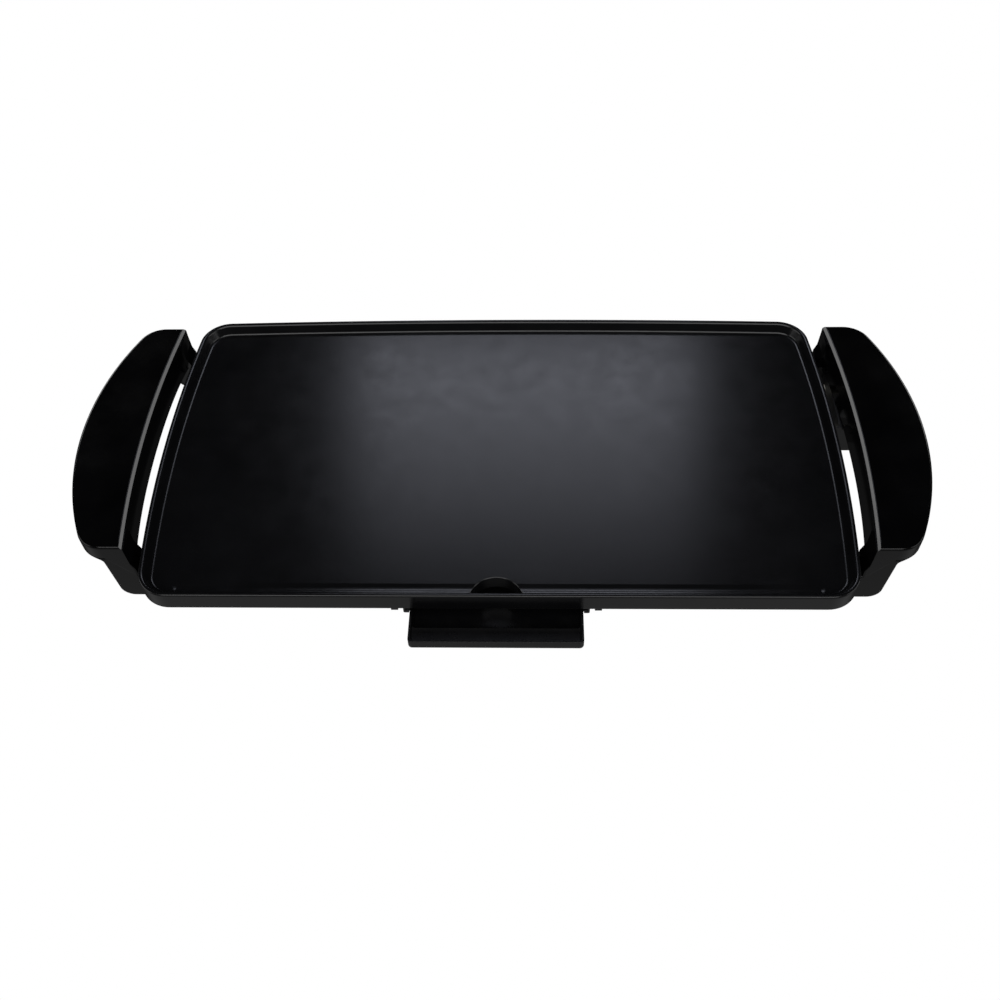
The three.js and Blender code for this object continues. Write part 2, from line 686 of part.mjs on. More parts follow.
// A leg seen from the side: its face towards the middle leans out on its way down.
function legTaper(end) {
  const face = halfSpan - LEG_DEPTH;
  const foot = halfSpan - LEG_FOOT_DEPTH;
  const profile = polygon(
    [
      [face, wingTop],
      [face, underPlate],
      [foot, FOOT_HEIGHT],
      [halfSpan, FOOT_HEIGHT],
      [halfSpan, wingTop],
    ].map(([y, z]) => [end * y, z]),
  );
  return runAlongX(profile, legInner, handleInner + WING_WIDTH);
}

function handle() {
  const skirtLow = wingTop - WING_SKIRT;
  const wallLow = rimTop - INNER_WALL_DROP;
  const beyond = 100; // longer than any cut needs

  // The wing's skin: a solid wing hollowed from below.
  const edge = { width: EDGE_ROUND, height: EDGE_ROUND };
  let wing = raisedRound(wingOutline(EDGE_ROUND), skirtLow, wingTop, edge, 2);
  const innerStrip = raised(wingOutline(0), wallLow, wingTop - WING_BEVEL).subtract(
    raised(wingOutline(-beyond, HANDLE_WALL), wallLow - 1, wingTop),
  );
  wing = wing.add(innerStrip);
  const hollow = raised(wingOutline(HANDLE_WALL), skirtLow - 1, wingTop - HANDLE_WALL);

  // Legs: the outline run front to back, kept inside the wing's plan, hollowed from the middle.
  const plan = raised(wingOutline(0, -beyond), 0, wingTop);
  const planInside = raised(wingOutline(HANDLE_WALL, -beyond), -1, wingTop);
  const legs = [-1, 1].map((end) => {
    const [from, to] = [end * (halfSpan - LEG_DEPTH), end * halfSpan].sort((a, b) => a - b);
    const outside = runAlongY(legOutline(0), from, to).intersect(plan).intersect(legTaper(end));
    const inside = runAlongY(legOutline(HANDLE_WALL), from - 1, to + 1).intersect(planInside);
    return { outside, inside };
  });
  let shell = wing.subtract(hollow);
  for (const leg of legs) shell = shell.add(leg.outside);
  for (const leg of legs) shell = shell.subtract(leg.inside);

  shell = shell.subtract(innerEdgeBevel());

  // Holes for the screws into the plate and for the feet's stems.
  for (const end of [-1, 1]) {
    const screwHole = SCREW_RADIUS + SCREW_CLEARANCE;
    const screwFloor = underPlate - HANDLE_WALL - 1;
    shell = shell.subtract(
      post(legScrewX, end * legScrewY, screwFloor, underPlate + 1, screwHole),
    );
    const stemHole = FOOT_STEM_RADIUS + GAP;
    const stemTop = FOOT_HEIGHT + HANDLE_WALL + 1;
    shell = shell.subtract(
      post(footX, end * footY, FOOT_HEIGHT - 1, stemTop, stemHole),
    );
  }
  return shell;
}

// The cutter for the broad bevel along the inner top edge: a triangle, run along the curved edge
// in short straight stretches.
function innerEdgeBevel() {
  const triangle = polygon([
    [-1, wingTop - WING_BEVEL - 1],
    [WING_BEVEL + 1, wingTop + 1],
    [-1, wingTop + 1],
  ]);
  const edgeX = (y) => handleInner - HANDLE_BOW * (y / halfSpan) ** 2;
  const stretch = HANDLE_SPAN / BEVEL_STRETCHES;
  const pieces = [];
  for (let i = 0; i < BEVEL_STRETCHES; i++) {
    const middle = -halfSpan + (i + 0.5) * stretch;
    const lean = edgeX(middle + stretch / 2) - edgeX(middle - stretch / 2);
    const angle = THREE.MathUtils.radToDeg(Math.atan2(lean, stretch));
    const length = stretch + 2 * GAP;
    const piece = runAlongY(triangle, -length / 2, length / 2).rotate([0, 0, -angle]);
    pieces.push(piece.translate([edgeX(middle), middle, 0]));
  }
  return joined(pieces);
}

function rubberFoot(side, end) {
  const headZ = FOOT_HEIGHT + HANDLE_WALL;
  const top = FOOT_HEIGHT - GAP;
  const profile = [
    [0, 0],
    [FOOT_RADIUS - FOOT_FLARE, 0],
    [FOOT_RADIUS, top],
    [FOOT_STEM_RADIUS, top],
    [FOOT_STEM_RADIUS, headZ + GAP],
    [0, headZ + GAP],
  ].map(([radius, height]) => new THREE.Vector2(radius, height));
  const geometry = new THREE.LatheGeometry(profile, ROUND_SIDES);
  return solidOf(geometry.rotateX(Math.PI / 2).translate(side * footX, end * footY, 0));
}

// ---- Drip tray ----
function dripTray() {
  const bottom = trayTop - TRAY_HEIGHT;
  const inside = trayHalf - TRAY_WALL;
  const shelfFront = trayFront + TRAY_WALL;
  const shelfBack = shelfFront + TRAY_SHELF_DEPTH;
  const shelfTop = trayTop - TRAY_SHELF_SINK;
  const frontLow = trayTop - TRAY_FRONT_HEIGHT;

  const rim = roundedRectangle(-trayHalf, trayHalf, trayFront, trayBack, TRAY_CORNER);
  let tray = raised(rim, frontLow, trayTop, TRAY_SEGMENTS);
  const pan = roundedRectangle(
    -trayHalf,
    trayHalf,
    shelfBack - TRAY_WALL,
    trayBack,
    TRAY_CORNER,
  );
  tray = tray.add(raised(pan, bottom, trayTop, TRAY_SEGMENTS));
  const basin = roundedRectangle(-inside, inside, shelfBack, trayBack - TRAY_WALL, TRAY_CORNER);
  tray = tray.subtract(raised(basin, bottom + TRAY_WALL, trayTop + 1, TRAY_SEGMENTS));
  const shelf = roundedRectangle(
    -inside,
    inside,
    shelfFront,
    shelfBack + TRAY_CORNER,
    TRAY_SHELF_CORNER,
  );
  tray = tray.subtract(raised(shelf, shelfTop, trayTop + 1, TRAY_SEGMENTS));
  // Finger recess under the shelf, behind the front lip.
  tray = tray.subtract(
    block(
      [-inside, shelfFront, frontLow - 1],
      [inside, shelfBack - TRAY_WALL, shelfTop - TRAY_WALL],
    ),
  );
  // Runners along both sides, behind the plate's front wall.
  for (const side of [-1, 1]) {
    const ends = [side * (trayHalf - 1), side * (trayHalf + RUNNER_WIDTH)].sort((a, b) => a - b);
    tray = tray.add(
      block([ends[0], railFront, runnerBottom], [ends[1], trayBack - TRAY_CORNER, trayTop]),
    );
  }
  return tray;
}

// A folded rail: a flange screwed to the plate, a web, and a ledge under the tray's runner.
function trayRail() {
  const ledgeTop = runnerBottom - GAP;
  const web = railInner + RAIL_SHEET;
  const ledgeInner = trayHalf + RAIL_CLEARANCE;
  const profile = polygon([
    [railInner, underPlate],
    [railInner, ledgeTop],
    [ledgeInner, ledgeTop],
    [ledgeInner, ledgeTop - RAIL_SHEET],
    [web, ledgeTop - RAIL_SHEET],
    [web, underPlate - RAIL_SHEET],
    [web + RAIL_FLANGE, underPlate - RAIL_SHEET],
    [web + RAIL_FLANGE, underPlate],
  ]);
  let rail = runAlongY(profile, railFront, trayBack);
  // The flange starts behind the lugs on the skirt.
  rail = rail.subtract(
    block(
      [web, railFront - 1, ledgeTop],
      [web + RAIL_FLANGE + 1, stopBack + GAP, underPlate + 1],
    ),
  );
  for (const y of railScrewYs) {
    const radius = SCREW_RADIUS + SCREW_CLEARANCE;
    rail = rail.subtract(post(railScrewX, y, ledgeTop, underPlate + 1, radius));
  }
  return rail;
}

// ---- Materials ----
const paint = (color, roughness, metalness) =>
  new THREE.MeshStandardMaterial({ color, roughness, metalness });
const nonStick = paint(0x17171a, 0.45, 0.1);
const blackPlastic = paint(0x0a0a0b, 0.2, 0);
const trayPlastic = paint(0x0c0c0d, 0.35, 0);
const rubber = paint(0x141414, 0.8, 0);
const steel = paint(0x9a9a9c, 0.35, 1);
const darkSteel = paint(0x3a3a3c, 0.45, 0.9);
const sheath = paint(0x4a4c44, 0.5, 0.8);
const ceramic = paint(0xe4dfd2, 0.6, 0);

// ---- Assembly ----
const griddle = new THREE.Group();

function place(name, solid, material) {
  const mesh = new THREE.Mesh(geometryOf(solid), material);
  mesh.name = name;
  griddle.add(mesh);
}

place("griddle_plate", griddlePlate(), nonStick);
place("heating_element", heatingElement(), sheath);
clipPlaces.forEach((clip, index) => {
  place(`element_clip_${index + 1}`, elementClip(clip), steel);
  const headTop = underPlate - CLIP_THICKNESS - GAP;
  place(`clip_screw_${index + 1}`, screw(clip.screw, headTop, screwTip), steel);
});

["front", "back"].forEach((name, index) => {
  place(`terminal_pin_${name}`, terminalPin(pinYs[index]), steel);
  place(`terminal_bush_${name}`, terminalBush(pinYs[index]), ceramic);
  const headTop = underPlate - SOCKET_SHEET - GAP;
  place(`socket_screw_${name}`, screw(socketScrews[index], headTop, screwTip), steel);
});
place("socket_guard", socketGuard(), darkSteel);

const handleSolid = handle();
place("right_handle", handleSolid, blackPlastic);
place("left_handle", handleSolid.mirror([1, 0, 0]), blackPlastic);
for (const { side, end, place: at } of legScrews) {
  const name = `${side < 0 ? "left" : "right"}_${end < 0 ? "front" : "back"}`;
  place(`leg_screw_${name}`, screw(at, underPlate - HANDLE_WALL - GAP, screwTip), steel);
  place(`foot_${name}`, rubberFoot(side, end), rubber);
}

const railSolid = trayRail();
place("tray_rail_right", railSolid, darkSteel);
place("tray_rail_left", railSolid.mirror([1, 0, 0]), darkSteel);
for (const [side, name] of [[-1, "left"], [1, "right"]]) {
  railScrewYs.forEach((y, index) => {
    const at = [side * railScrewX, y];
    const headTop = underPlate - RAIL_SHEET - GAP;
    place(`rail_screw_${name}_${index + 1}`, screw(at, headTop, screwTip), steel);
  });
}
place("drip_tray", dripTray(), trayPlastic);

// The tray stands out at the front, so the box's centre is in front of the plate's centre.
griddle.position.y = -(halfDepth + trayFront) / 2;

export default griddle;
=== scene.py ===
from functools import cache

import bpy
import numpy as np
from mathutils import Matrix, Vector


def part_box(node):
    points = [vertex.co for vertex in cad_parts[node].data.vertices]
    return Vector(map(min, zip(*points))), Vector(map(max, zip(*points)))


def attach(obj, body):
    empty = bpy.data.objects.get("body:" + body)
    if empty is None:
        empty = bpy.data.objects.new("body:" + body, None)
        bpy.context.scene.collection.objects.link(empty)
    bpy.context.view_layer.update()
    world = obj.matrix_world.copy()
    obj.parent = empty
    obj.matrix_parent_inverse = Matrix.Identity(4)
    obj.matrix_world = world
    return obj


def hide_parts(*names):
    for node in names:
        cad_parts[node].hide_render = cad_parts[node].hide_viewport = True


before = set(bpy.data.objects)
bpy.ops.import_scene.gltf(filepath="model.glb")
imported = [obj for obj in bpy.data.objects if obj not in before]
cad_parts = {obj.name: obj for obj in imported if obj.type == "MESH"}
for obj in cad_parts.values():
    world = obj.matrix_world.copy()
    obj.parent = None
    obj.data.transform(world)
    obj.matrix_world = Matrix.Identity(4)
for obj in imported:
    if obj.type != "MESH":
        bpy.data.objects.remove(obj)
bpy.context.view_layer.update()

MM = 1000.0
SMOOTH_ANGLE = np.radians(32)
CORNER_STEPS = 6


def node_box(name):
    """Lowest and highest corner of a node in millimetres, as two arrays."""
    low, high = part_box(name)
    return np.array(low) * MM, np.array(high) * MM


# ---- Solids: a solid is (points, faces) ----
def ring_solid(rings):
    """Rings of equally many points, joined by quads and closed by the first and the last ring:
    the surface point (i, j) is point j of ring i. A ring runs anticlockwise seen from the end."""
    rings = np.asarray(rings, float)
    count, size, _ = rings.shape
    index = np.arange(count * size).reshape(count, size)
    low, high = index[:-1], index[1:]
    quads = np.stack([low, np.roll(low, -1, 1), np.roll(high, -1, 1), high], -1).reshape(-1, 4)
    return rings.reshape(-1, 3), [*quads.tolist(), index[0][::-1].tolist(), index[-1].tolist()]


def raised(outline, profile):
    """A stack of outlines: for each (inset, level) of the profile, outline(inset) at that level."""
    rings = [np.c_[plan, np.full(len(plan), z)] for plan, z in ((outline(d), z) for d, z in profile)]
    return ring_solid(rings)


def along_x(solid):
    """Turns +Z to +X and keeps the right hand: (x, y, z) becomes (z, x, y)."""
    points, faces = solid
    return points[:, [2, 0, 1]], faces


def upright(solid):
    """Swaps Y and Z, with each face turned over so that it still points outward."""
    points, faces = solid
    return points[:, [0, 2, 1]], [face[::-1] for face in faces]


def moved(solid, x=0.0, y=0.0, z=0.0):
    """Shifted along the axes."""
    return solid[0] + np.array([x, y, z]), solid[1]


def turned(solid, degrees):
    """Turned about Z."""
    c, s = np.cos(np.radians(degrees)), np.sin(np.radians(degrees))
    return solid[0] @ np.array([[c, s, 0], [-s, c, 0], [0, 0, 1]]), solid[1]


def together(solids):
    """Several solids as one list of points and faces."""
    points, faces, start = [], [], 0
    for solid_points, solid_faces in solids:
        points.append(solid_points)
        faces += [[start + i for i in face] for face in solid_faces]
        start += len(solid_points)
    return np.concatenate(points), faces


def block(low, high):
    """A box between two corners."""
    (x0, y0, z0), (x1, y1, z1) = low, high
    plan = np.array([[x0, y0], [x1, y0], [x1, y1], [x0, y1]], float)
    return ring_solid([np.c_[plan, np.full(4, z)] for z in (z0, z1)])


# ---- Lines and outlines ----
def eased(corners, trims, steps=5, closed=False):
    """A polyline whose corners become curves: each is the quadratic curve from the point one trim
    before the corner to the point one trim after it, with the corner as its control point."""
    corners = np.asarray(corners, float)
    trims = np.broadcast_to(np.asarray(trims, float), (len(corners),))
    t = np.linspace(0, 1, steps + 1)[:, None]
    before, after = np.roll(corners, 1, 0) - corners, np.roll(corners, -1, 0) - corners
    made = []
    for i, (corner, trim) in enumerate(zip(corners, trims)):
        if trim == 0 or (not closed and i in (0, len(corners) - 1)):
            made.append(corner[None])
            continue
        start = corner + before[i] * trim / np.linalg.norm(before[i])
        end = corner + after[i] * trim / np.linalg.norm(after[i])
        made.append((1 - t) ** 2 * start + 2 * t * (1 - t) * corner + t**2 * end)
    return np.concatenate(made)


def arc(x, y, radius, start, end, steps):
    """Points at equal angles on a circle about (x, y)."""
    angle = np.linspace(start, end, steps + 1)
    return np.c_[x + radius * np.cos(angle), y + radius * np.sin(angle)]


def circle(radius, sides=32):
    """Outline function of a circle: an inset makes the radius smaller."""
    angle = np.arange(sides) * 2 * np.pi / sides
    unit = np.c_[np.cos(angle), np.sin(angle)]
    return lambda inset: unit * (radius - inset)


def rectangle(x0, x1, y0, y1, radius):
    """Outline function of a rectangle with round corners."""
    quarter = np.pi / 2

    def outline(inset):
        r = max(radius - inset, 0.05)
        a, b, c, d = x0 + inset + r, x1 - inset - r, y0 + inset + r, y1 - inset - r
        places = [(b, c, -1), (b, d, 0), (a, d, 1), (a, c, 2)]
        return np.concatenate([
            arc(x, y, r, k * quarter, (k + 1) * quarter, CORNER_STEPS) for x, y, k in places
        ])

    return outline


def extruded(corners, trims, length):
    """A flat outline with eased corners, centred on the plane and run along Z for its length."""
    plan = eased(corners, trims, closed=True)
    return ring_solid([np.c_[plan, np.full(len(plan), z)] for z in (-length / 2, length / 2)])


def turned_solid(profile, sides=32):
    """A lathed solid: (radius, height) pairs from the lower end to the upper, turned about Z."""
    angle = np.arange(sides) * 2 * np.pi / sides
    unit = np.c_[np.cos(angle), np.sin(angle)]
    return ring_solid([np.c_[unit * max(r, 0.02), np.full(sides, z)] for r, z in profile])


# ---- Pieces ----
def piece(name, solid):
    """A new object with the solid's points and faces as its mesh."""
    points, faces = solid
    mesh = bpy.data.meshes.new(name)
    mesh.from_pydata((points / MM).tolist(), [], faces)
    mesh.update()
    made = bpy.data.objects.new(name, mesh)
    bpy.context.scene.collection.objects.link(made)
    return made


def settle(made):
    """Replaces a piece's mesh by what its modifiers make of it."""
    graph = bpy.context.evaluated_depsgraph_get()
    mesh = bpy.data.meshes.new_from_object(made.evaluated_get(graph))
    made.modifiers.clear()
    made.data = mesh


def combine(made, operation, solid):
    """Joins a solid to a piece ("UNION") or cuts it away ("DIFFERENCE")."""
    tool = piece("tool", solid)
    modifier = made.modifiers.new("combine", "BOOLEAN")
    modifier.operation, modifier.solver, modifier.object = operation, "EXACT", tool
    settle(made)
    bpy.data.objects.remove(tool)


def soften(made, width, segments=2, angle=35):
    """Rounds the edges that turn by more than the angle."""
    weld = made.modifiers.new("weld", "WELD")
    weld.merge_threshold = 2e-6
    bevel = made.modifiers.new("bevel", "BEVEL")
    bevel.width, bevel.segments = width / MM, segments
    bevel.limit_method, bevel.angle_limit = "ANGLE", np.radians(angle)
    settle(made)


def mirror(made):
    """Mirrors a piece in X, with its faces still outward."""
    made.data.transform(Matrix.Scale(-1, 4, (1, 0, 0)))
    made.data.flip_normals()


def finish(made, body, slot, nodes, *materials):
    """Smooth faces, sharp creases, materials, and what the piece rides on and stands for."""
    made.data.materials.clear()
    for material in materials:
        made.data.materials.append(material)
    made.data.shade_smooth()
    made.data.set_sharp_from_angle(angle=SMOOTH_ANGLE)
    weights = made.modifiers.new("normals", "WEIGHTED_NORMAL")
    weights.weight, weights.keep_sharp = 90, True
    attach(made, body)
    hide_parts(*nodes)
    return made


# ---- Measures read from the frame ----
plate_high = node_box("griddle_plate")[1]
handle_low, handle_high = node_box("right_handle")
tray_low, tray_high = node_box("drip_tray")
guard_low, guard_high = node_box("socket_guard")
element_end = node_box("heating_element")[1][0]
rail_low, rail_high = node_box("tray_rail_right")

CENTRE_Y = (handle_low[1] + handle_high[1]) / 2  # the plate's middle
GAP = 0.3  # between parts that nearly touch
HALF_LENGTH = plate_high[0]
HALF_DEPTH = plate_high[1] - CENTRE_Y
RIM_TOP = plate_high[2]
SIDE_BOW, BACK_BOW, CORNER = 9.0, 4.5, 24.0
RIM_HEIGHT, RIM_TOP_WIDTH, RIM_SLOPE, RIM_FILLET = 8.0, 3.5, 5.5, 1.8
SURFACE = RIM_TOP - RIM_HEIGHT
PLATE_THICKNESS, SKIRT_DEPTH, SKIRT_WALL = 4.5, 16.0, 3.5
FLOOR = SURFACE - PLATE_THICKNESS  # the plate's underside
SKIRT_BOTTOM = RIM_TOP - SKIRT_DEPTH
UNDER_PLATE = SKIRT_BOTTOM - GAP
FRONT_WALL = CENTRE_Y - HALF_DEPTH
RIM_FOOT = FRONT_WALL + RIM_TOP_WIDTH + RIM_SLOPE
WING_TOP = handle_high[2]
HALF_SPAN = (handle_high[1] - handle_low[1]) / 2
SIDE_CURVE, BACK_CURVE = SIDE_BOW / HALF_DEPTH**2, BACK_BOW / HALF_LENGTH**2
BOSS_RADIUS, HOLE_RADIUS = 5.5, 2.3
RUNNER, RAIL_SHEET, RAIL_FLANGE, RAIL_CLEARANCE = 2.5, 1.5, 14.0, 0.6


# ---- Cooking plate ----
def plate_corner(inset, end_curve):
    """The circle that touches the bowed side and the bowed end edge, found in a few steps."""
    radius = CORNER - inset
    side_touch, end_touch = HALF_DEPTH - CORNER, HALF_LENGTH - CORNER
    for _ in range(20):
        side_angle = np.arctan(2 * SIDE_CURVE * side_touch)
        end_angle = np.arctan(2 * end_curve * end_touch)
        x = HALF_LENGTH - inset - SIDE_CURVE * side_touch**2 - radius * np.cos(side_angle)
        y = HALF_DEPTH - inset - end_curve * end_touch**2 - radius * np.cos(end_angle)
        side_touch, end_touch = y + radius * np.sin(side_angle), x + radius * np.sin(end_angle)
    return x, y, radius, side_touch, end_touch, side_angle, np.pi / 2 - end_angle


def plate_outline(inset):
    """The plate in plan: a straight front, parabolas x = h - k y^2 and y = d - k x^2 along the
    sides and the back, and a circle at each corner."""
    fx, fy, fr, f_side, f_end, f_start, f_stop = plate_corner(inset, 0)
    bx, by, br, b_side, b_end, b_start, b_stop = plate_corner(inset, BACK_CURVE)
    side = np.linspace(-f_side, b_side, 42)[1:-1]
    right = np.c_[HALF_LENGTH - inset - SIDE_CURVE * side**2, side]
    back = np.linspace(b_end, -b_end, 62)[1:-1]
    edge = np.c_[back, HALF_DEPTH - inset - BACK_CURVE * back**2]
    front = np.linspace(-f_end, f_end, 30)[1:-1]
    corner = 14
    plan = np.concatenate([
        arc(fx, -fy, fr, -f_stop, -f_start, corner), right,
        arc(bx, by, br, b_start, b_stop, corner), edge,
        arc(-bx, by, br, np.pi - b_stop, np.pi - b_start, corner), (right * [-1, 1])[::-1],
        arc(-fx, -fy, fr, np.pi + f_start, np.pi + f_stop, corner),
        np.c_[front, np.full(len(front), inset - HALF_DEPTH)],
    ])
    return plan + [0, CENTRE_Y]


DRAIN_RADIUS, DRAIN_REACH, DRAIN_CHAMFER, DRAIN_COLLAR = 19.6, 12.5, 0.7, 2.5
DRAIN_BOTTOM = tray_high[2] + 0.8
DRAIN_CENTRE = RIM_FOOT + DRAIN_REACH - DRAIN_RADIUS


def drain_outline(inset):
    """A circle cut off by a chord at the foot of the front rim."""
    radius, chord = DRAIN_RADIUS - inset, RIM_FOOT + inset
    start = np.arcsin((chord - DRAIN_CENTRE) / radius)
    return arc(0, DRAIN_CENTRE, radius, start, np.pi - start, 40)


def boss(x, y):
    """A cast screw boss with a flared root and a slightly rounded end."""
    corners = [(0.9, SKIRT_BOTTOM), (0, SKIRT_BOTTOM), (-0.35, FLOOR), (-2.6, FLOOR), (-2.6, FLOOR + 1)]
    return moved(raised(circle(BOSS_RADIUS), eased(corners, [0, 0.6, 1.6, 0, 0], 3)), x, y)


def hole(x, y, low, high):
    """The round bar that cuts an upright screw hole."""
    return moved(raised(circle(HOLE_RADIUS, 24), [(0, low), (0, high)]), x, y)


PIN_SPACING, WELL_WIDTH, WELL_LENGTH, WELL_BORE, BORE_DEPTH = 44.0, 14.0, 92.0, 3.6, 80.0
SOCKET_Y = (guard_low[1] + guard_high[1]) / 2
COVER_DROP, SOCKET_DROP = 12.0, 37.0  # the socket's cover and floor below the rim's top
PIN_Z = RIM_TOP - (COVER_DROP + SOCKET_DROP) / 2
TROUGH_WIDTH, TROUGH_CORNER, TROUGH_DEPTH, TROUGH_SLOPE = 7.0, 3.2, 0.45, 2.5
LUG_WIDTH, LUG_DROP, LUG_OFFSET, LUG_INSET = 5.0, 3.5, 3.5, 1.5
screws = sorted(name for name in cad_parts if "screw" in name)


def middle(name):
    """The middle of a node's box in millimetres."""
    low, high = node_box(name)
    return (low + high) / 2


def cooking_plate():
    """A section of the edge (skirt, rim and its slope, with quadratic curves at the corners) is
    carried round the plate's outline. The bosses, the probe's well, the lugs and the drain's
    collar are joined to it; the trough, the drain and the screw holes are cut away."""
    rim_corner = RIM_TOP_WIDTH + RIM_SLOPE - RIM_FILLET
    corners = [
        (SKIRT_WALL + 8, FLOOR), (SKIRT_WALL, FLOOR), (SKIRT_WALL - 0.6, SKIRT_BOTTOM),
        (0, SKIRT_BOTTOM), (0, RIM_TOP), (RIM_TOP_WIDTH, RIM_TOP), (rim_corner, SURFACE),
        (rim_corner + RIM_SLOPE, SURFACE),
    ]
    profile = eased(corners, [0, 3, 0.6, 1.5, 1.7, 1.7, RIM_FILLET, 0], 8)[:-1]
    made = piece("cooking_plate", raised(plate_outline, profile))

    combine(made, "UNION", together([boss(*middle(name)[:2]) for name in screws]))
    end = HALF_LENGTH - 2
    section = np.concatenate([
        [[SOCKET_Y + WELL_WIDTH / 2, FLOOR + 1], [SOCKET_Y - WELL_WIDTH / 2, FLOOR + 1]],
        arc(SOCKET_Y, PIN_Z, WELL_WIDTH / 2, np.pi, 2 * np.pi, 20),
    ])
    rings = [np.c_[section, np.full(len(section), x)] for x in (end - WELL_LENGTH, end)]
    combine(made, "UNION", along_x(ring_solid(rings)))
    near = rail_high[0] - RAIL_FLANGE + LUG_OFFSET
    lug_back, lug_bottom = FRONT_WALL + SKIRT_WALL + GAP, SKIRT_BOTTOM - LUG_DROP
    lugs = [
        block((x, FRONT_WALL + LUG_INSET, lug_bottom), (x + LUG_WIDTH, lug_back, SKIRT_BOTTOM + 1.5))
        for x in (near, -near - LUG_WIDTH)
    ]
    combine(made, "UNION", together(lugs))
    collar = [(-DRAIN_COLLAR, DRAIN_BOTTOM), (-DRAIN_COLLAR, FLOOR + 1)]
    combine(made, "UNION", raised(drain_outline, collar))

    long = HALF_LENGTH - SIDE_CURVE * HALF_DEPTH**2 - CORNER + 1.2
    trough = rectangle(-long, long, RIM_FOOT, RIM_FOOT + TROUGH_WIDTH, TROUGH_CORNER)
    groove = [
        (TROUGH_SLOPE + 0.8, SURFACE - TROUGH_DEPTH), (TROUGH_SLOPE, SURFACE - TROUGH_DEPTH),
        (0, SURFACE), (-0.9, SURFACE + 0.02), (-0.9, SURFACE + 1),
    ]
    combine(made, "DIFFERENCE", raised(trough, eased(groove, [0, 0.7, 0.8, 0, 0], 5)))
    chamfer = [
        (0, DRAIN_BOTTOM - 1), (0, SURFACE - DRAIN_CHAMFER), (-DRAIN_CHAMFER, SURFACE + 0.01),
        (-DRAIN_CHAMFER - 0.3, SURFACE + 0.02), (-DRAIN_CHAMFER - 0.3, SURFACE + 3),
    ]
    combine(made, "DIFFERENCE", raised(drain_outline, eased(chamfer, [0, 0.3, 0.25, 0, 0], 3)))
    top = SURFACE - 2
    holes = [hole(*middle(name)[:2], SKIRT_BOTTOM - 1, top) for name in screws]
    combine(made, "DIFFERENCE", together(holes))
    bore = raised(circle(WELL_BORE), [(0, end - BORE_DEPTH), (0, end - 1), (-0.8, end), (-0.8, end + 1)])
    combine(made, "DIFFERENCE", moved(along_x(bore), 0, SOCKET_Y, PIN_Z))

    finish(made, "griddle", "nonstick_aluminium", ["griddle_plate"], nonstick(), cast_aluminium())
    bare_underside(made.data)
    return made


def bare_underside(mesh):
    """The faces inside the skirt and below the floor are bare metal, the second material, apart
    from the drain's collar, which is coated."""
    centres = np.empty(len(mesh.polygons) * 3)
    mesh.polygons.foreach_get("center", centres)
    x, y, z = (centres.reshape(-1, 3) * MM).T
    y = y - CENTRE_Y
    margin = 2.2  # from the skirt's outside, within its wall
    inside = (abs(x) < HALF_LENGTH - SIDE_CURVE * y**2 - margin) & (y > margin - HALF_DEPTH)
    inside &= y < HALF_DEPTH - BACK_CURVE * x**2 - margin
    inside &= np.hypot(x, y + CENTRE_Y - DRAIN_CENTRE) > DRAIN_RADIUS + DRAIN_COLLAR + 0.5
    mesh.polygons.foreach_set("material_index", (inside & (z < FLOOR + 0.05)).astype(np.int32))


# ---- Handles ----
HANDLE_BOW, WING_WIDTH, WING_RADIUS, WING_CORNER = 7.5, 50.0, 240.0, 21.0
WING_SKIRT, WING_BEVEL, WING_ROUND, HANDLE_WALL = 13.0, 2.3, 2.2, 3.0
HANDLE_INNER = handle_high[0] - WING_WIDTH
HANDLE_END = HANDLE_INNER - HANDLE_BOW
LEG_DEPTH, LEG_FOOT_DEPTH, LEG_WIDTH = 19.0, 10.0, 18.0
LEG_TAPER, LEG_SPLAY, LEG_CORNER = 2.5, 3.0, 10.0
LEG_INNER = handle_low[0]
LEG_FILLET, LEG_FILLET_REACH = 6.0, 16.0
HANDLE_LOW = handle_low[2]
WALL_LOW = RIM_TOP - 9.0
WALL_DIP, WALL_DIP_POWER, WALL_DRAFT = 7.0, 4, 1.1
INNER_STEPS = 48


def wing_corner(inset):
    """Centre of the circle that joins the wing's end to its outer arc, and where the two touch."""
    arc_x = HANDLE_INNER + WING_WIDTH - WING_RADIUS
    radius, corner = WING_RADIUS - inset, WING_CORNER - inset
    y = HALF_SPAN - inset - corner
    x = arc_x + np.sqrt((radius - corner) ** 2 - y**2)
    return arc_x, radius, corner, x, y, np.arctan2(y, x - arc_x)


def wing_outline(inset, inner_inset):
    """The right wing in plan: an outer arc, two corner circles, and the inner parabola
    x = middle - bow (y / half span)^2, which comes last."""
    arc_x, radius, corner, x, y, touch = wing_corner(inset)
    half = HALF_SPAN - inset
    run = np.linspace(half, -half, INNER_STEPS + 1)
    inner = np.c_[HANDLE_INNER + inner_inset - HANDLE_BOW * (run / HALF_SPAN) ** 2, run]
    return np.concatenate([
        arc(x, -y, corner, -np.pi / 2, -touch, 12),
        arc(arc_x, 0, radius, -touch, touch, 60)[1:-1],
        arc(x, y, corner, touch, np.pi / 2, 12),
        inner,
    ])


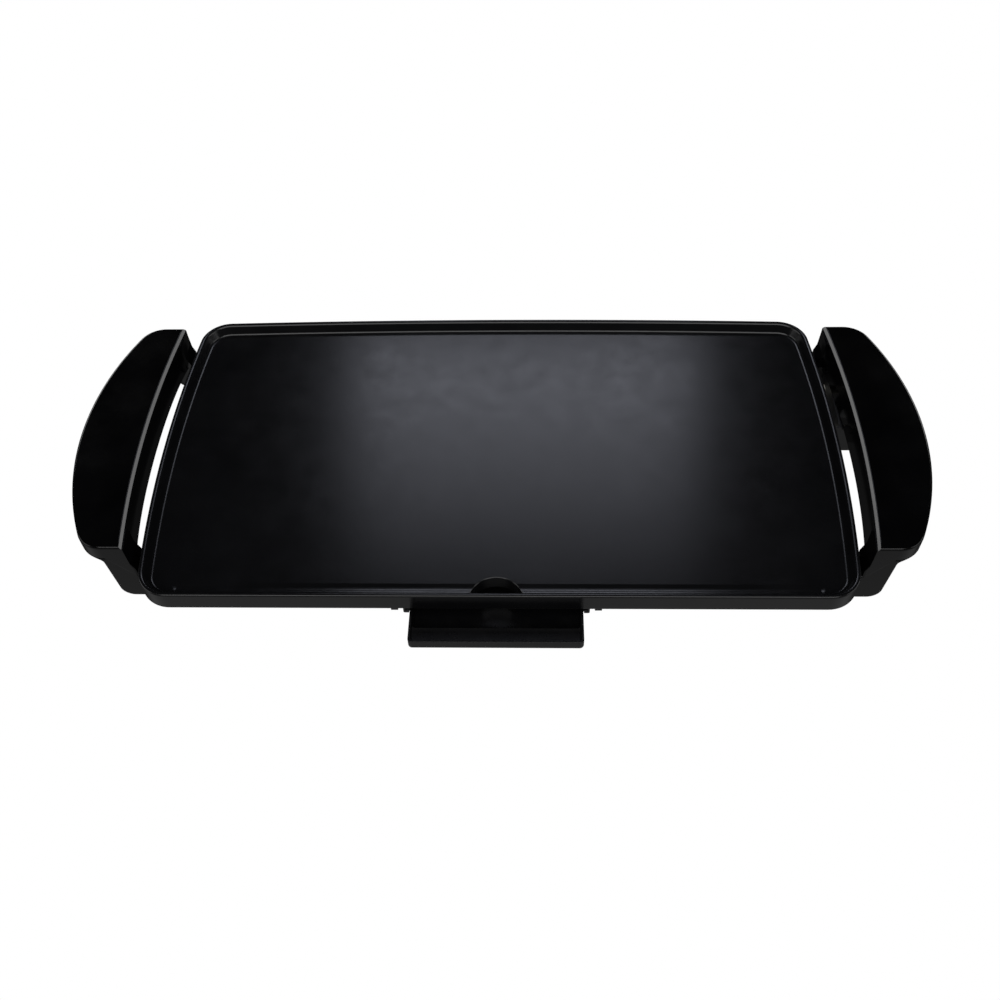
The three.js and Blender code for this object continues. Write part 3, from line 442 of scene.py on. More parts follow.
def wing():
    """A stack of wing outlines from the roof of the hollow, down its wall, up the outside and over
    the rounded edge. The inner edge ends in a broad bevel, and its wall reaches lower: its lower
    edge dips by the fourth power of the distance from the middle."""
    skirt = WING_TOP - WING_SKIRT
    roof = WING_TOP - HANDLE_WALL
    outer = eased([(0, skirt + 6), (0, WING_TOP), (8, WING_TOP)], [0, WING_ROUND, 0], 8)[:-1]
    corners = [(0, skirt + 6), (0, WING_TOP - WING_BEVEL), (WING_BEVEL, WING_TOP), (9, WING_TOP)]
    bevel = eased(corners, [0, 0.5, 0.5, 0], 4)[:-1]
    levels = np.unique(np.round(np.r_[outer[1:, 1], bevel[1:, 1]], 4))
    insets = np.interp(levels, outer[:, 1], outer[:, 0])
    inner = np.interp(levels, bevel[:, 1], bevel[:, 0])
    insets[-1], inner[-1] = outer[-1, 0], bevel[-1, 0]
    corners = [(HANDLE_WALL, roof), (HANDLE_WALL, skirt), (0, skirt), (0, skirt + 6)]
    rings = []
    for inset, z in eased(corners, [0, 0.4, 0.5, 0], 4):
        plan = wing_outline(inset, inset)
        level = np.full(len(plan), z)
        if z < skirt + 5:
            run = abs(plan[-INNER_STEPS - 1:, 1]) / HALF_SPAN
            level[-INNER_STEPS - 1:] = z - (skirt - WALL_LOW) - WALL_DIP * run**WALL_DIP_POWER
            plan[-INNER_STEPS - 1:, 0] -= WALL_DRAFT
        rings.append(np.c_[plan, level])
    for inset, inner_inset, z in zip(insets, inner, levels):
        rings.append(np.c_[wing_outline(inset, inner_inset), np.full(len(plan), z)])
    return ring_solid(rings)


def leg_outline(inset):
    """One leg seen from the front, as (x, z): from the wing it drops past the plate and reaches
    in under it; a quarter curve joins it to the wing's skirt."""
    bottom, corner = HANDLE_LOW + inset, LEG_CORNER - inset
    outer_top = HANDLE_END + LEG_WIDTH - inset
    outer_low = outer_top - LEG_TAPER
    inner, under = LEG_INNER + inset, UNDER_PLATE - inset
    skirt = WING_TOP - WING_SKIRT
    crown = WING_TOP - HANDLE_WALL - GAP
    wall = HANDLE_END - LEG_SPLAY + inset
    t = np.linspace(0, 1, 13)[:, None]
    start, control = np.array([outer_top, skirt - LEG_FILLET]), np.array([outer_top, skirt])
    end = np.array([outer_top + LEG_FILLET_REACH, skirt])
    fillet = (1 - t) ** 2 * start + 2 * t * (1 - t) * control + t**2 * end
    return np.concatenate([
        [[HANDLE_END + inset, crown], [HANDLE_END + inset, RIM_TOP], [wall, WALL_LOW]],
        [[wall, under], [inner, under]],
        arc(inner + corner, bottom + corner, corner, np.pi, 1.5 * np.pi, 12),
        arc(outer_low - corner, bottom + corner, corner, 1.5 * np.pi, 2 * np.pi, 12),
        fillet,
        [[outer_top + LEG_FILLET_REACH, crown]],
    ])


def end_face(x, inset):
    """How far the wing's plan reaches from the middle at each x: its end, then its corner circle."""
    _, _, corner, centre_x, centre_y, _ = wing_corner(inset)
    beyond = np.clip(x - centre_x, 0, corner)
    return centre_y + np.sqrt(corner**2 - beyond**2)


def at_end(rings, end):
    """The solid of rings that run from the back end face towards the middle, or its mirror image
    in Y at the front. At the back its faces are turned over, to point outward."""
    points, faces = ring_solid(rings)
    if end > 0:
        return points, [face[::-1] for face in faces]
    return points * [1, -1, 1], faces


def leg(end):
    """The leg outline run from the wing's end face towards the middle, with a rounded front edge.
    Its far face leans back towards the end face on its way down."""
    rings = []
    for inset, depth in eased([(1.4, 0), (0, 0), (0, 1.5)], [0, 1.3, 0], 5):
        plan = leg_outline(inset)
        rings.append(np.c_[plan[:, 0], end_face(plan[:, 0], 0) - depth, plan[:, 1]])
    plan = leg_outline(0)
    share = np.clip((UNDER_PLATE - plan[:, 1]) / (UNDER_PLATE - HANDLE_LOW), 0, 1)
    back = HALF_SPAN - LEG_DEPTH + share * (LEG_DEPTH - LEG_FOOT_DEPTH)
    rings.append(np.c_[plan[:, 0], back, plan[:, 1]])
    return at_end(rings, end)


def leg_hollow(end):
    """The leg's outline inset by the wall, open towards the middle."""
    plan = leg_outline(HANDLE_WALL)
    rings = [
        np.c_[plan[:, 0], end_face(plan[:, 0], HANDLE_WALL), plan[:, 1]],
        np.c_[plan[:, 0], np.full(len(plan), HALF_SPAN - LEG_DEPTH - 2), plan[:, 1]],
    ]
    return at_end(rings, end)


def right_handle_piece():
    """The wing joined to its two legs, which are hollowed and drilled for screws and feet."""
    made = piece("handle_right", wing())
    combine(made, "UNION", leg(-1))
    combine(made, "UNION", leg(1))
    combine(made, "DIFFERENCE", leg_hollow(-1))
    combine(made, "DIFFERENCE", leg_hollow(1))
    drills = []
    for end in ("front", "back"):
        x, y, _ = middle(f"leg_screw_right_{end}")
        drills.append(hole(x, y - CENTRE_Y, UNDER_PLATE - HANDLE_WALL - 1, UNDER_PLATE + 1))
        x, y, _ = middle(f"foot_right_{end}")
        drills.append(hole(x, y - CENTRE_Y, HANDLE_LOW - 1, HANDLE_LOW + HANDLE_WALL + 1))
    combine(made, "DIFFERENCE", together(drills))
    made.data.transform(Matrix.Translation((0, CENTRE_Y / MM, 0)))
    return made


def handles():
    """The right handle and its mirror image."""
    right = right_handle_piece()
    left = bpy.data.objects.new("handle_left", right.data.copy())
    bpy.context.scene.collection.objects.link(left)
    mirror(left)
    finish(right, "griddle", "gloss_black_plastic", ["right_handle"], gloss_plastic())
    finish(left, "griddle", "gloss_black_plastic", ["left_handle"], gloss_plastic())


def rubber_feet():
    """A flared puck with a rounded rim and a stem."""
    for name in sorted(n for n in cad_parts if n.startswith("foot_")):
        x, y, _ = middle(name)
        low, high = node_box(name)
        radius, top = (high[0] - low[0]) / 2, HANDLE_LOW - GAP
        corners = [(0, 0), (radius - 0.8, 0), (radius, top), (2, top), (2, high[2]), (0, high[2])]
        profile = eased(corners, [0, 0.35, 0.3, 0.1, 0.5, 0], 3)
        made = piece(name.replace("foot", "rubber_foot"), moved(turned_solid(profile, 28), x, y))
        finish(made, "griddle", "foot_rubber", [name], rubber())


# ---- Screws ----
SHANK_RADIUS, THREAD_PITCH, THREAD_DEPTH, TIP_LENGTH, HEAD_HEIGHT = 2.0, 1.2, 0.32, 3.0, 2.2


def threaded_screw(head_radius, head_bottom, head_top, tip):
    """A pan-head screw. The head is lathed; the shank is a helix: its radius at height z and
    angle a is the crest radius less the thread depth times a triangle wave of z / pitch - a."""
    sides = 20
    angle = np.arange(sides) * 2 * np.pi / sides
    heights = np.linspace(head_top, tip, 56)
    wave = abs(((heights[:, None] / THREAD_PITCH - angle / (2 * np.pi)) % 1) * 2 - 1)
    taper = np.clip((tip - heights) / TIP_LENGTH, 0.1, 1)[:, None]
    radius = (SHANK_RADIUS - THREAD_DEPTH * wave) * taper
    level = np.broadcast_to(heights[:, None], radius.shape)
    shank = np.stack([radius * np.cos(angle), radius * np.sin(angle), level], -1)
    corners = [
        (0, head_bottom), (head_radius - 1.3, head_bottom), (head_radius, head_top - 0.7),
        (head_radius, head_top), (SHANK_RADIUS, head_top),
    ]
    head = eased(corners, [0, 0.9, 0.4, 0.15, 0], 4)
    unit = np.c_[np.cos(angle), np.sin(angle)]
    rings = [np.c_[unit * max(r, 0.02), np.full(sides, z)] for r, z in head[:-1]]
    return ring_solid([*rings, *shank])


def head_and_tip(name):
    """The heights of a screw's two ends, rounded so that like screws agree."""
    low, high = node_box(name)
    return tuple(np.round([low[2], high[2]], 2))


def screw_pieces():
    """A screw with a cross recess for each pair of heights, repeated at each place."""
    low, high = node_box(screws[0])
    radius = (high[0] - low[0]) / 2
    for ends in sorted({head_and_tip(name) for name in screws}):
        bottom, tip = ends
        model = piece("screw_model", threaded_screw(radius, bottom, bottom + HEAD_HEIGHT, tip))
        bar = [(-0.45, bottom - 1), (0.45, bottom - 1), (0.25, bottom + 1.3), (-0.25, bottom + 1.3)]
        for degrees in (0, 90):
            combine(model, "DIFFERENCE", turned(upright(extruded(bar, 0, 3.4)), degrees))
        for name in (name for name in screws if head_and_tip(name) == ends):
            x, y, _ = middle(name)
            made = bpy.data.objects.new(name.replace("screw", "pan_screw"), model.data.copy())
            bpy.context.scene.collection.objects.link(made)
            made.data.transform(Matrix.Translation((x / MM, y / MM, 0)))
            finish(made, "griddle", "bright_steel", [name], bright_steel())
        bpy.data.objects.remove(model)


# ---- Heating element ----
ELEMENT_RADIUS, ELEMENT_BEND = 3.5, 24.0
ELEMENT_X = HALF_LENGTH - 48.0
ELEMENT_Y = HALF_DEPTH - 55.0
ELEMENT_Z = FLOOR - GAP - ELEMENT_RADIUS


def element_path():
    """The tube's centre line: straights, quadratic bends and S-shaped steps down to the pins."""
    front, back = SOCKET_Y - CENTRE_Y - PIN_SPACING / 2, SOCKET_Y - CENTRE_Y + PIN_SPACING / 2
    x, y, z, b, end = ELEMENT_X, ELEMENT_Y, ELEMENT_Z, ELEMENT_BEND, element_end
    t = np.linspace(0, 1, 15)[:, None]

    def bend(a, c, d):
        a, c, d = map(np.array, (a, c, d))
        return (1 - t) ** 2 * a + 2 * t * (1 - t) * c + t**2 * d

    def step(a, c, d, e):
        a, c, d, e = map(np.array, (a, c, d, e))
        return (1 - t) ** 3 * a + 3 * t * (1 - t) ** 2 * c + 3 * t**2 * (1 - t) * d + t**3 * e

    sink_start, sink_end = front - b, front - b - 36.0
    sink = (sink_start + sink_end) / 2
    rise_end = x + b / 2
    rise_start = rise_end - 48.0
    rise = (rise_start + rise_end) / 2
    parts = [
        [[end, front, PIN_Z]],
        bend((x + b, front, PIN_Z), (x, front, PIN_Z), (x, sink_start, PIN_Z)),
        step((x, sink_start, PIN_Z), (x, sink, PIN_Z), (x, sink, z), (x, sink_end, z))[1:],
        bend((x, b - y, z), (x, -y, z), (x - b, -y, z)),
        bend((b - x, -y, z), (-x, -y, z), (-x, b - y, z)),
        bend((-x, y - b, z), (-x, y, z), (b - x, y, z)),
        step((rise_start, y, z), (rise, y, z), (rise, back, PIN_Z), (rise_end, back, PIN_Z)),
        [[end, back, PIN_Z]],
    ]
    return np.concatenate(parts) + [0, CENTRE_Y, 0]


def tube(path, radius, sides=20):
    """A round section carried along a path, square to it and kept upright."""
    along = np.gradient(path, axis=0)
    along /= np.linalg.norm(along, axis=1)[:, None]
    side = np.cross(along, [0, 0, 1])
    side /= np.linalg.norm(side, axis=1)[:, None]
    up = np.cross(side, along)
    angle = np.arange(sides) * 2 * np.pi / sides
    ring = side[:, None] * np.cos(angle)[:, None] + up[:, None] * np.sin(angle)[:, None]
    return ring_solid((path[:, None] + radius * ring)[:, ::-1])


def element_piece():
    """The element's round tube along its centre line."""
    made = piece("element_tube", tube(element_path(), ELEMENT_RADIUS))
    finish(made, "griddle", "element_sheath", ["heating_element"], element_sheath())


def clip_pieces():
    """A strip that hooks round the tube, with a tab and a screw hole beside it."""
    reach, sheet, tab = ELEMENT_RADIUS + GAP, 1.2, 14.0
    bottom = ELEMENT_Z - reach
    corners = [
        (-reach - sheet, ELEMENT_Z), (-reach - sheet, bottom - sheet), (reach + sheet, bottom - sheet),
        (reach + sheet, UNDER_PLATE - sheet), (tab, UNDER_PLATE - sheet), (tab, UNDER_PLATE),
        (reach, UNDER_PLATE), (reach, bottom), (-reach, bottom), (-reach, ELEMENT_Z),
    ]
    trims = [0.3, 2.4, 2.4, 0.5, 0.3, 0.3, 1.5, 1.4, 1.4, 0.3]
    strip = upright(extruded(corners, trims, 10.0))
    offset = BOSS_RADIUS + GAP + ELEMENT_RADIUS  # from the tube to the screw
    for index in range(1, 7):
        name = f"element_clip_{index}"
        low, high = node_box(name)
        screw_x, screw_y, _ = middle(f"clip_screw_{index}")
        x, y = (low[:2] + high[:2]) / 2
        across = high[0] - low[0] < high[1] - low[1]
        towards = (screw_y - y) if across else (screw_x - x)
        degrees = (90 if towards > 0 else -90) if across else (0 if towards > 0 else 180)
        made = piece(name.replace("clip", "strap"), strip)
        combine(made, "DIFFERENCE", hole(offset, 0, bottom, UNDER_PLATE + 1))
        soften(made, 0.2)
        made.data.transform(Matrix.Rotation(np.radians(degrees), 4, "Z"))
        c, s = np.cos(np.radians(degrees)), np.sin(np.radians(degrees))
        place = (screw_x - offset * c) / MM, (screw_y - offset * s) / MM, 0
        made.data.transform(Matrix.Translation(place))
        finish(made, "griddle", "bright_steel", [name], bright_steel())


# ---- Heat control socket ----
def terminals():
    """Round-nosed pins with a crimped root, in collared ceramic bushes."""
    for end in ("front", "back"):
        low, high = node_box(f"terminal_pin_{end}")
        _, y, z = middle(f"terminal_pin_{end}")
        length = high[0] - low[0]
        nose = arc(0, 0, 2.5, 0, np.pi / 2, 6)
        profile = [(0, 0), (2.3, 0), (2.5, 0.4), *[(r, length - 2.5 + h) for r, h in nose]]
        made = piece(f"pin_{end}", moved(along_x(turned_solid(profile)), low[0], y, z))
        finish(made, "griddle", "bright_steel", [f"terminal_pin_{end}"], bright_steel())
        low, high = node_box(f"terminal_bush_{end}")
        length, radius = high[0] - low[0], (high[1] - low[1]) / 2
        corners = [
            (0, 0), (radius - 0.8, 0), (radius - 0.8, 2.2), (radius, 2.2), (radius, length), (0, length),
        ]
        bush = turned_solid(eased(corners, [0, 0.4, 0.2, 0.3, 0.5, 0], 3))
        made = piece(f"bush_{end}", moved(along_x(bush), low[0], y, z))
        bore = turned_solid([(2.8, -1), (2.8, length + 1)])
        combine(made, "DIFFERENCE", moved(along_x(bore), low[0], y, z))
        finish(made, "griddle", "ceramic", [f"terminal_bush_{end}"], ceramic())


def socket_shroud():
    """Folded sheet: a terminal plate, a cover, a floor and two cheeks that run in under the plate."""
    sheet, front, back = 1.6, guard_low[1], guard_high[1]
    floor, cover, crest = guard_low[2], RIM_TOP - COVER_DROP, guard_high[2]
    mouth, face = guard_high[0], HALF_LENGTH + 6.5
    outer = face + sheet
    tab_x, tab = guard_low[0], 12.0
    made = piece("socket_shroud", block((face, front, floor), (outer, back, crest)))
    parts = [
        block((face, front, cover - sheet), (mouth, back, cover)),
        block((face, front, floor), (mouth, back, floor + sheet)),
    ]
    for y in (front, back - sheet):
        parts.append(block((HALF_LENGTH + 1, y, floor), (mouth, y + sheet, cover)))
        parts.append(block((HALF_LENGTH + 1, y, floor), (outer, y + sheet, crest)))
        parts.append(block((tab_x, y, UNDER_PLATE - 10), (outer, y + sheet, UNDER_PLATE)))
    drills = []
    for end in ("front", "back"):
        x, y, _ = middle(f"socket_screw_{end}")
        half = tab / 2
        parts.append(block((x - half, y - half, UNDER_PLATE - sheet), (x + half, y + half, UNDER_PLATE)))
        drills.append(hole(x, y, floor, UNDER_PLATE + 1))
    for part in parts:
        combine(made, "UNION", part)
    bores = [(SOCKET_Y, WELL_BORE + GAP)]
    bores += [(SOCKET_Y + side * PIN_SPACING / 2, 3.1) for side in (-1, 1)]
    for y, radius in bores:
        bar = along_x(raised(circle(radius, 28), [(0, face - 1), (0, outer + 1)]))
        drills.append(moved(bar, 0, y, PIN_Z))
    combine(made, "DIFFERENCE", together(drills))
    soften(made, 0.4, 3, 40)
    finish(made, "griddle", "dark_steel", ["socket_guard"], dark_steel())


# ---- Drip tray ----
def drip_tray():
    """Two round-cornered tubs side by side, a shallow one in front and a deep one behind, each
    hollowed with a curve at the foot of its wall, and a runner along each side."""
    wall = 2.0
    half = tray_high[0] - RUNNER
    inside = half - wall
    front, back, bottom, top = tray_low[1], tray_high[1], tray_low[2], tray_high[2]
    shelf_front, shelf_back = front + wall, front + wall + 11.0
    shelf_top, front_low = top - 2.5, top - 8.0
    rail_front = FRONT_WALL + 2.0

    def tub(x0, x1, y0, y1, z0, corner, floor_round=0.8):
        profile = eased([(3, z0), (0, z0), (0, top), (3, top)], [0, floor_round, 0.5, 0], 4)
        return raised(rectangle(x0, x1, y0, y1, corner), profile)

    made = piece("grease_tray", tub(-half, half, front, back, front_low, 3.0))
    combine(made, "UNION", tub(-half, half, shelf_back - wall, back, bottom, 3.0, 2.0))
    for side in (-1, 1):
        x0, x1 = sorted((side * (half - 1), side * (half + RUNNER)))
        combine(made, "UNION", block((x0, rail_front, top - 1.6), (x1, back - 3, top)))
    basin = rectangle(-inside, inside, shelf_back, back - wall, 3.0)
    hollow = [(3, bottom + wall), (0.4, bottom + wall), (0, top - 0.5), (-0.5, top + 0.01), (-0.5, top + 2)]
    combine(made, "DIFFERENCE", raised(basin, eased(hollow, [0, 2.2, 0.4, 0, 0], 4)))
    shelf = rectangle(-inside, inside, shelf_front, shelf_back + 3, 1.2)
    dish = [(2, shelf_top), (0.2, shelf_top), (0, top - 0.4), (-0.5, top + 0.01), (-0.5, top + 2)]
    combine(made, "DIFFERENCE", raised(shelf, eased(dish, [0, 0.8, 0.3, 0, 0], 4)))
    grip = rectangle(-inside, inside, shelf_front, shelf_back - wall, 1.0)
    combine(made, "DIFFERENCE", raised(grip, [(0, front_low - 1), (0, shelf_top - wall)]))
    soften(made, 0.3, 2, 50)
    finish(made, "tray", "black_tray_plastic", ["drip_tray"], tray_plastic())


def tray_rails():
    """A folded rail: a flange screwed to the plate, a web, and a ledge under the tray's runner."""
    web_inner = tray_high[0] + RAIL_CLEARANCE
    web = web_inner + RAIL_SHEET
    flange = web + RAIL_FLANGE
    ledge_inner = web_inner - RUNNER
    ledge, flange_low = rail_low[2], UNDER_PLATE - RAIL_SHEET
    ledge_top = ledge + RAIL_SHEET
    front, back = rail_low[1], rail_high[1]
    corners = [
        (web_inner, UNDER_PLATE), (web_inner, ledge_top), (ledge_inner, ledge_top), (ledge_inner, ledge),
        (web, ledge), (web, flange_low), (flange, flange_low), (flange, UNDER_PLATE),
    ]
    trims = [1.6, 0.3, 0.3, 0.3, 1.4, 0.3, 0.3, 0.3]
    run = moved(upright(extruded(corners, trims, back - front)), y=(front + back) / 2)
    notch_back = FRONT_WALL + SKIRT_WALL + 2 * GAP
    for word in ("right", "left"):
        made = piece(f"rail_{word}", run)
        notch = block((web, front - 1, ledge_top), (flange + 1, notch_back, UNDER_PLATE + 1))
        combine(made, "DIFFERENCE", notch)
        for index in (1, 2):
            x, y, _ = middle(f"rail_screw_right_{index}")
            combine(made, "DIFFERENCE", hole(x, y, ledge_top, UNDER_PLATE + 1))
        soften(made, 0.2)
        if word == "left":
            mirror(made)
        finish(made, "griddle", "dark_steel", [f"tray_rail_{word}"], dark_steel())


# ---- Finishes: each is made once and shared ----
class Finish:
    """A material with procedural detail on its shader. Sizes are in metres on the object's
    coordinates."""

    def __init__(self, name, metallic=0.0, specular=0.5):
        self.material = bpy.data.materials.new(name)
        self.material.use_nodes = True
        tree = self.material.node_tree
        self.nodes, self.links, self.shader = tree.nodes, tree.links, tree.nodes["Principled BSDF"]
        self.shader.inputs["Metallic"].default_value = metallic
        self.shader.inputs["Specular IOR Level"].default_value = specular
        self.place = self.nodes.new("ShaderNodeTexCoord").outputs["Object"]
        self.height = None

    def noise(self, size, detail, stretch=(1, 1, 1)):
        """Noise with grains of about this size; a stretch above 1 packs them along that axis."""
        mapping = self.nodes.new("ShaderNodeMapping")
        mapping.inputs["Scale"].default_value = stretch
        self.links.new(self.place, mapping.inputs["Vector"])
        made = self.nodes.new("ShaderNodeTexNoise")
        made.inputs["Scale"].default_value = 1 / size
        made.inputs["Detail"].default_value = detail
        self.links.new(mapping.outputs[0], made.inputs["Vector"])
        return made.outputs["Fac"]

    def ramp(self, source, low, high):
        """The source, stretched from 0.3..0.7 to low..high."""
        made = self.nodes.new("ShaderNodeMapRange")
        for socket, value in zip(("From Min", "From Max", "To Min", "To Max"), (0.3, 0.7, low, high)):
            made.inputs[socket].default_value = value
        self.links.new(source, made.inputs["Value"])
        return made.outputs["Result"]

    def colour(self, source, dark, light):
        """Base colour between dark and light."""
        made = self.nodes.new("ShaderNodeMix")
        made.data_type = "RGBA"
        colours = [socket for socket in made.inputs if socket.type == "RGBA"]
        colours[0].default_value, colours[1].default_value = (*dark, 1), (*light, 1)
        self.links.new(self.ramp(source, 0, 1), made.inputs["Factor"])
        result = next(socket for socket in made.outputs if socket.type == "RGBA")
        self.links.new(result, self.shader.inputs["Base Color"])

    def roughness(self, source, low, high):
        self.links.new(self.ramp(source, low, high), self.shader.inputs["Roughness"])

    def bump(self, source, depth):
        """Relief of this depth in metres, on top of any added before."""
        made = self.nodes.new("ShaderNodeBump")
        made.inputs["Distance"].default_value = depth
        made.inputs["Strength"].default_value = 1.0
        self.links.new(source, made.inputs["Height"])
        if self.height is not None:
            self.links.new(self.height, made.inputs["Normal"])
        self.height = made.outputs["Normal"]
        self.links.new(self.height, self.shader.inputs["Normal"])


@cache
def nonstick():
    """Black non-stick coating: satin, with a fine orange-peel and faint mottling."""
    made = Finish("nonstick_coat")
    made.colour(made.noise(0.045, 4), (0.0042, 0.0043, 0.0048), (0.0068, 0.0069, 0.0077))
    made.roughness(made.noise(0.018, 5), 0.17, 0.22)
    made.bump(made.noise(0.0011, 2), 0.000012)
    made.bump(made.noise(0.00035, 1), 0.000004)
    return made.material


@cache
def cast_aluminium():
    """Bare die-cast aluminium: dull, grainy, a little darker where the die flowed."""
    made = Finish("cast_aluminium", metallic=1.0)
    made.colour(made.noise(0.03, 5, (1, 2.2, 1)), (0.26, 0.265, 0.27), (0.42, 0.42, 0.425))
    made.roughness(made.noise(0.006, 5), 0.42, 0.6)
    made.bump(made.noise(0.0009, 3), 0.00003)
    return made.material


@cache
def gloss_plastic():
    """Polished black phenolic: near-black, glossy, with faint handling haze and mould sink."""
    made = Finish("gloss_plastic", specular=0.32)
    made.colour(made.noise(0.05, 3), (0.0012, 0.0012, 0.0014), (0.0022, 0.0022, 0.0025))
    made.roughness(made.noise(0.03, 6), 0.10, 0.17)
    made.bump(made.noise(0.05, 1), 0.00006)
    made.bump(made.noise(0.0006, 2), 0.0000015)
    return made.material


@cache
def tray_plastic():
    """The tray's satin black plastic."""
    made = Finish("tray_plastic", specular=0.4)
    made.colour(made.noise(0.02, 4), (0.0025, 0.0025, 0.003), (0.0045, 0.0045, 0.005))
    made.roughness(made.noise(0.012, 5), 0.22, 0.32)
    made.bump(made.noise(0.0005, 2), 0.000004)
    return made.material


@cache
def rubber():
    """Matt dark grey rubber."""
    made = Finish("rubber")
    made.colour(made.noise(0.004, 4), (0.012, 0.012, 0.012), (0.026, 0.025, 0.024))
    made.roughness(made.noise(0.002, 4), 0.7, 0.9)
    made.bump(made.noise(0.0003, 3), 0.00002)
    return made.material


@cache
def bright_steel():
    """Zinc-plated steel with fine turning marks and a dulled patchiness."""
    made = Finish("bright_steel", metallic=1.0)
    made.colour(made.noise(0.004, 4), (0.42, 0.42, 0.41), (0.62, 0.62, 0.61))
    made.roughness(made.noise(0.0015, 4, (1, 1, 6)), 0.26, 0.45)
    made.bump(made.noise(0.0004, 2, (1, 1, 5)), 0.000008)
    return made.material


@cache
def dark_steel():
    """Black-painted sheet steel with a slight peel."""
    made = Finish("dark_steel")
    made.colour(made.noise(0.01, 4), (0.006, 0.006, 0.0065), (0.012, 0.012, 0.0125))
    made.roughness(made.noise(0.005, 4), 0.36, 0.5)
    made.bump(made.noise(0.0008, 2), 0.00001)
    return made.material


@cache
def element_sheath():
    """Oxidised steel sheath: mottled olive grey."""
    made = Finish("element_sheath", metallic=0.85)
    made.colour(made.noise(0.009, 6), (0.055, 0.056, 0.045), (0.15, 0.145, 0.12))
    made.roughness(made.noise(0.004, 5), 0.45, 0.65)
    made.bump(made.noise(0.0006, 3), 0.00002)
    return made.material


@cache
def ceramic():
    """Unglazed cream ceramic."""
    made = Finish("ceramic")
    made.colour(made.noise(0.003, 5), (0.66, 0.62, 0.54), (0.80, 0.77, 0.70))
    made.roughness(made.noise(0.001, 4), 0.5, 0.7)
    made.bump(made.noise(0.0004, 3), 0.00002)
    return made.material


# ---- Studio ----
ROOM_RADIUS, ROOM_HEIGHT, ROOM_DEPTH = 14.0, 9.0, 3.0


def studio():
    """A white room that only the camera sees, so that the floor stays evenly white. Lights and
    reflections see the surround instead."""
    levels = [(0, -ROOM_DEPTH * MM), (0, ROOM_HEIGHT * MM)]
    room = piece("studio_room", raised(circle(ROOM_RADIUS * MM, 64), levels))
    white = bpy.data.materials.new("room_white")
    white.use_nodes = True
    shader = white.node_tree.nodes["Principled BSDF"]
    shader.inputs["Base Color"].default_value = (0, 0, 0, 1)
    shader.inputs["Roughness"].default_value = 0.9
    shader.inputs["Specular IOR Level"].default_value = 0.0
    shader.inputs["Emission Color"].default_value = (1, 1, 1, 1)
    shader.inputs["Emission Strength"].default_value = 1.0
    room.data.materials.append(white)
    for ray in ("glossy", "diffuse", "shadow", "transmission", "volume_scatter"):
        setattr(room, f"visible_{ray}", False)


def softbox(name, place, target, size, radiance, colour=(1, 1, 1)):
    """An area lamp of even radiance, in watts per square metre and steradian."""
    data = bpy.data.lights.new(name, "AREA")
    data.shape, data.size, data.size_y = "RECTANGLE", *size
    data.energy, data.color = radiance * np.pi * size[0] * size[1], colour
    lamp = bpy.data.objects.new(name, data)
    lamp.location = place
    way = np.array(target) - np.array(place)
    lamp.rotation_mode = "QUATERNION"
    lamp.rotation_quaternion = Vector(way).to_track_quat("-Z", "Y")
    lamp.visible_camera = False
    bpy.context.scene.collection.objects.link(lamp)
    return lamp


FLOOR_GREY, CEILING_GREY = 0.25, 0.012  # what reflections see below and above the horizon
BACK_SHARE = 0.12  # how much of it is left behind the griddle


def surround():
    """What reflections see where there is no lamp: grey below the horizon and almost black above
    it, and darker behind the griddle than in front of it."""
    world = bpy.data.worlds.new("surround")
    world.use_nodes = True
    nodes, links = world.node_tree.nodes, world.node_tree.links
    split = nodes.new("ShaderNodeSeparateXYZ")
    links.new(nodes.new("ShaderNodeTexCoord").outputs["Generated"], split.inputs[0])

    def fade(axis, start, end, low, high):
        made = nodes.new("ShaderNodeMapRange")
        made.interpolation_type = "SMOOTHSTEP"
        for socket, value in zip(("From Min", "From Max", "To Min", "To Max"), (start, end, low, high)):
            made.inputs[socket].default_value = value
        links.new(split.outputs[axis], made.inputs["Value"])
        return made.outputs["Result"]

    both = nodes.new("ShaderNodeMath")
    both.operation = "MULTIPLY"
    links.new(fade("Z", -0.25, 0.1, FLOOR_GREY, CEILING_GREY), both.inputs[0])
    links.new(fade("Y", -0.2, 0.3, 1, BACK_SHARE), both.inputs[1])
    nodes["Background"].inputs["Color"].default_value = (1, 1, 1, 1)
    links.new(both.outputs[0], nodes["Background"].inputs["Strength"])
    bpy.context.scene.world = world
    bpy.context.scene.view_settings.view_transform = "Standard"


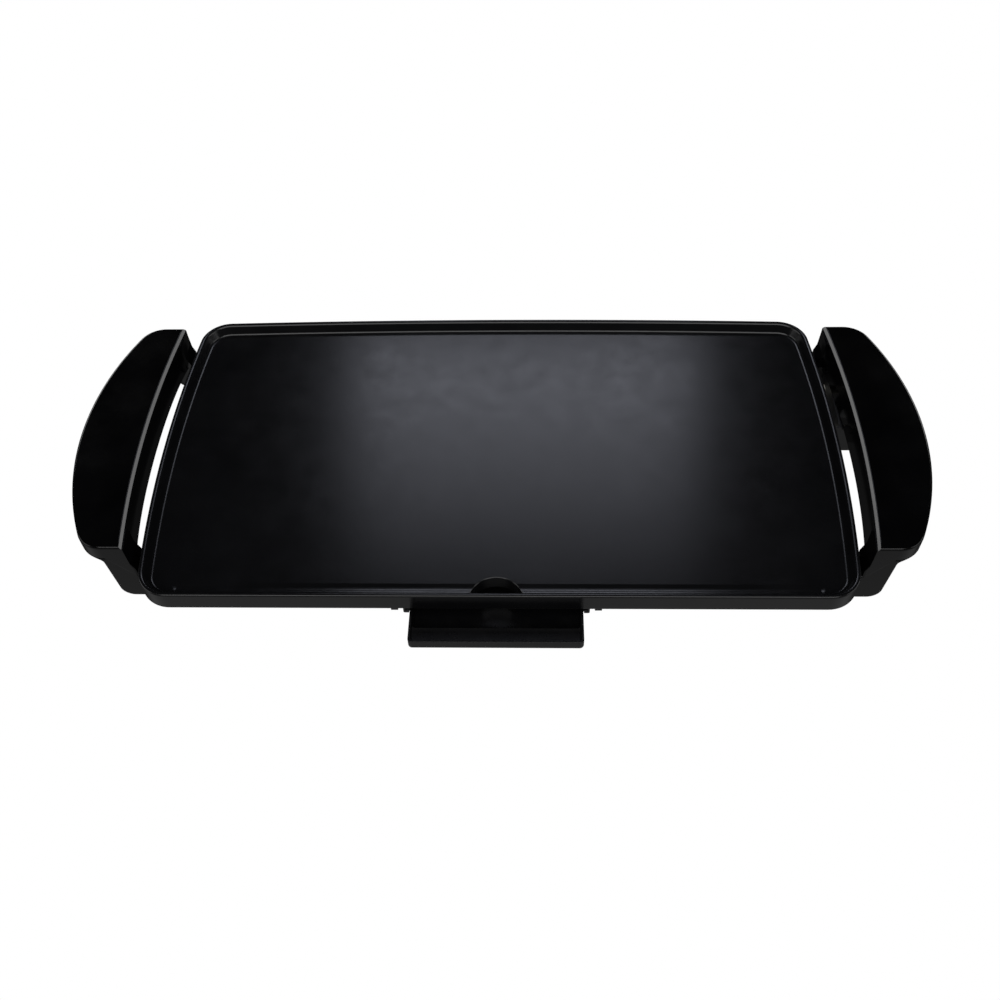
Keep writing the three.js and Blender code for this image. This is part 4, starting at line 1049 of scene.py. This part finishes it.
def lights():
    """Three strips stacked behind the plate, dimmer towards the top, give the long soft glow on
    it. Two lamps low behind the corners light the handles alone and draw their bevels, two at the
    sides show the shape from elsewhere, and one over the front lights the legs and the tray."""
    cool = (0.84, 0.87, 1.0)
    shells = bpy.data.collections.new("handle_shells")
    for name in ("handle_left", "handle_right"):
        shells.objects.link(bpy.data.objects[name])
    strips = ((1.645, 1.59, 0.28, 2.75), (1.41, 1.715, 0.17, 1.6), (1.23, 1.80, 0.19, 0.6))
    for y, z, height, radiance in strips:
        softbox(f"glow_{z}", (0.007, y, z), (0.007, 0, 0.04), (0.96, height), radiance, cool)
    for side, word in ((-1, "left"), (1, "right")):
        opposite = (side * -0.28, 0.05, 0.06)
        lamp = softbox(f"edge_{word}", (side * 1.53, 1.62, 0.9), opposite, (0.8, 0.7), 4.0)
        lamp.light_linking.receiver_collection = shells
        softbox(f"side_{word}", (side * 2.6, -0.4, 1.0), (0, 0, 0.04), (2.2, 1.3), 1.2)
    softbox("over_front", (0.0, -1.6, 2.2), (0.0, -0.1, 0.0), (3.2, 2.0), 2.0)


def camera():
    """Looks down at the plate from the front: 51.2 degrees down, turned 2.6 to the right and
    rolled by 2."""
    pitch, yaw, roll = 0.893915, -0.0453965, -0.0345738
    forward = np.array([np.sin(yaw) * np.cos(pitch), np.cos(yaw) * np.cos(pitch), -np.sin(pitch)])
    right = np.array([np.cos(yaw), -np.sin(yaw), 0])
    up = np.cross(right, forward)
    level = np.cos(roll) * right + np.sin(roll) * up
    above = -np.sin(roll) * right + np.cos(roll) * up
    data = bpy.data.cameras.new("camera")
    data.lens, data.sensor_width = 38.955, 36.0
    data.clip_start, data.clip_end = 0.01, 50.0
    made = bpy.data.objects.new("camera", data)
    matrix = np.eye(4)
    matrix[:3, :3] = np.c_[level, above, -forward]
    matrix[:3, 3] = 0.02442, -0.54873, 0.67281
    made.matrix_world = Matrix(matrix.tolist())
    bpy.context.scene.collection.objects.link(made)
    bpy.context.scene.camera = made


camera()
cooking_plate()
handles()
rubber_feet()
screw_pieces()
element_piece()
clip_pieces()
terminals()
socket_shroud()
drip_tray()
tray_rails()
studio()
surround()
lights()
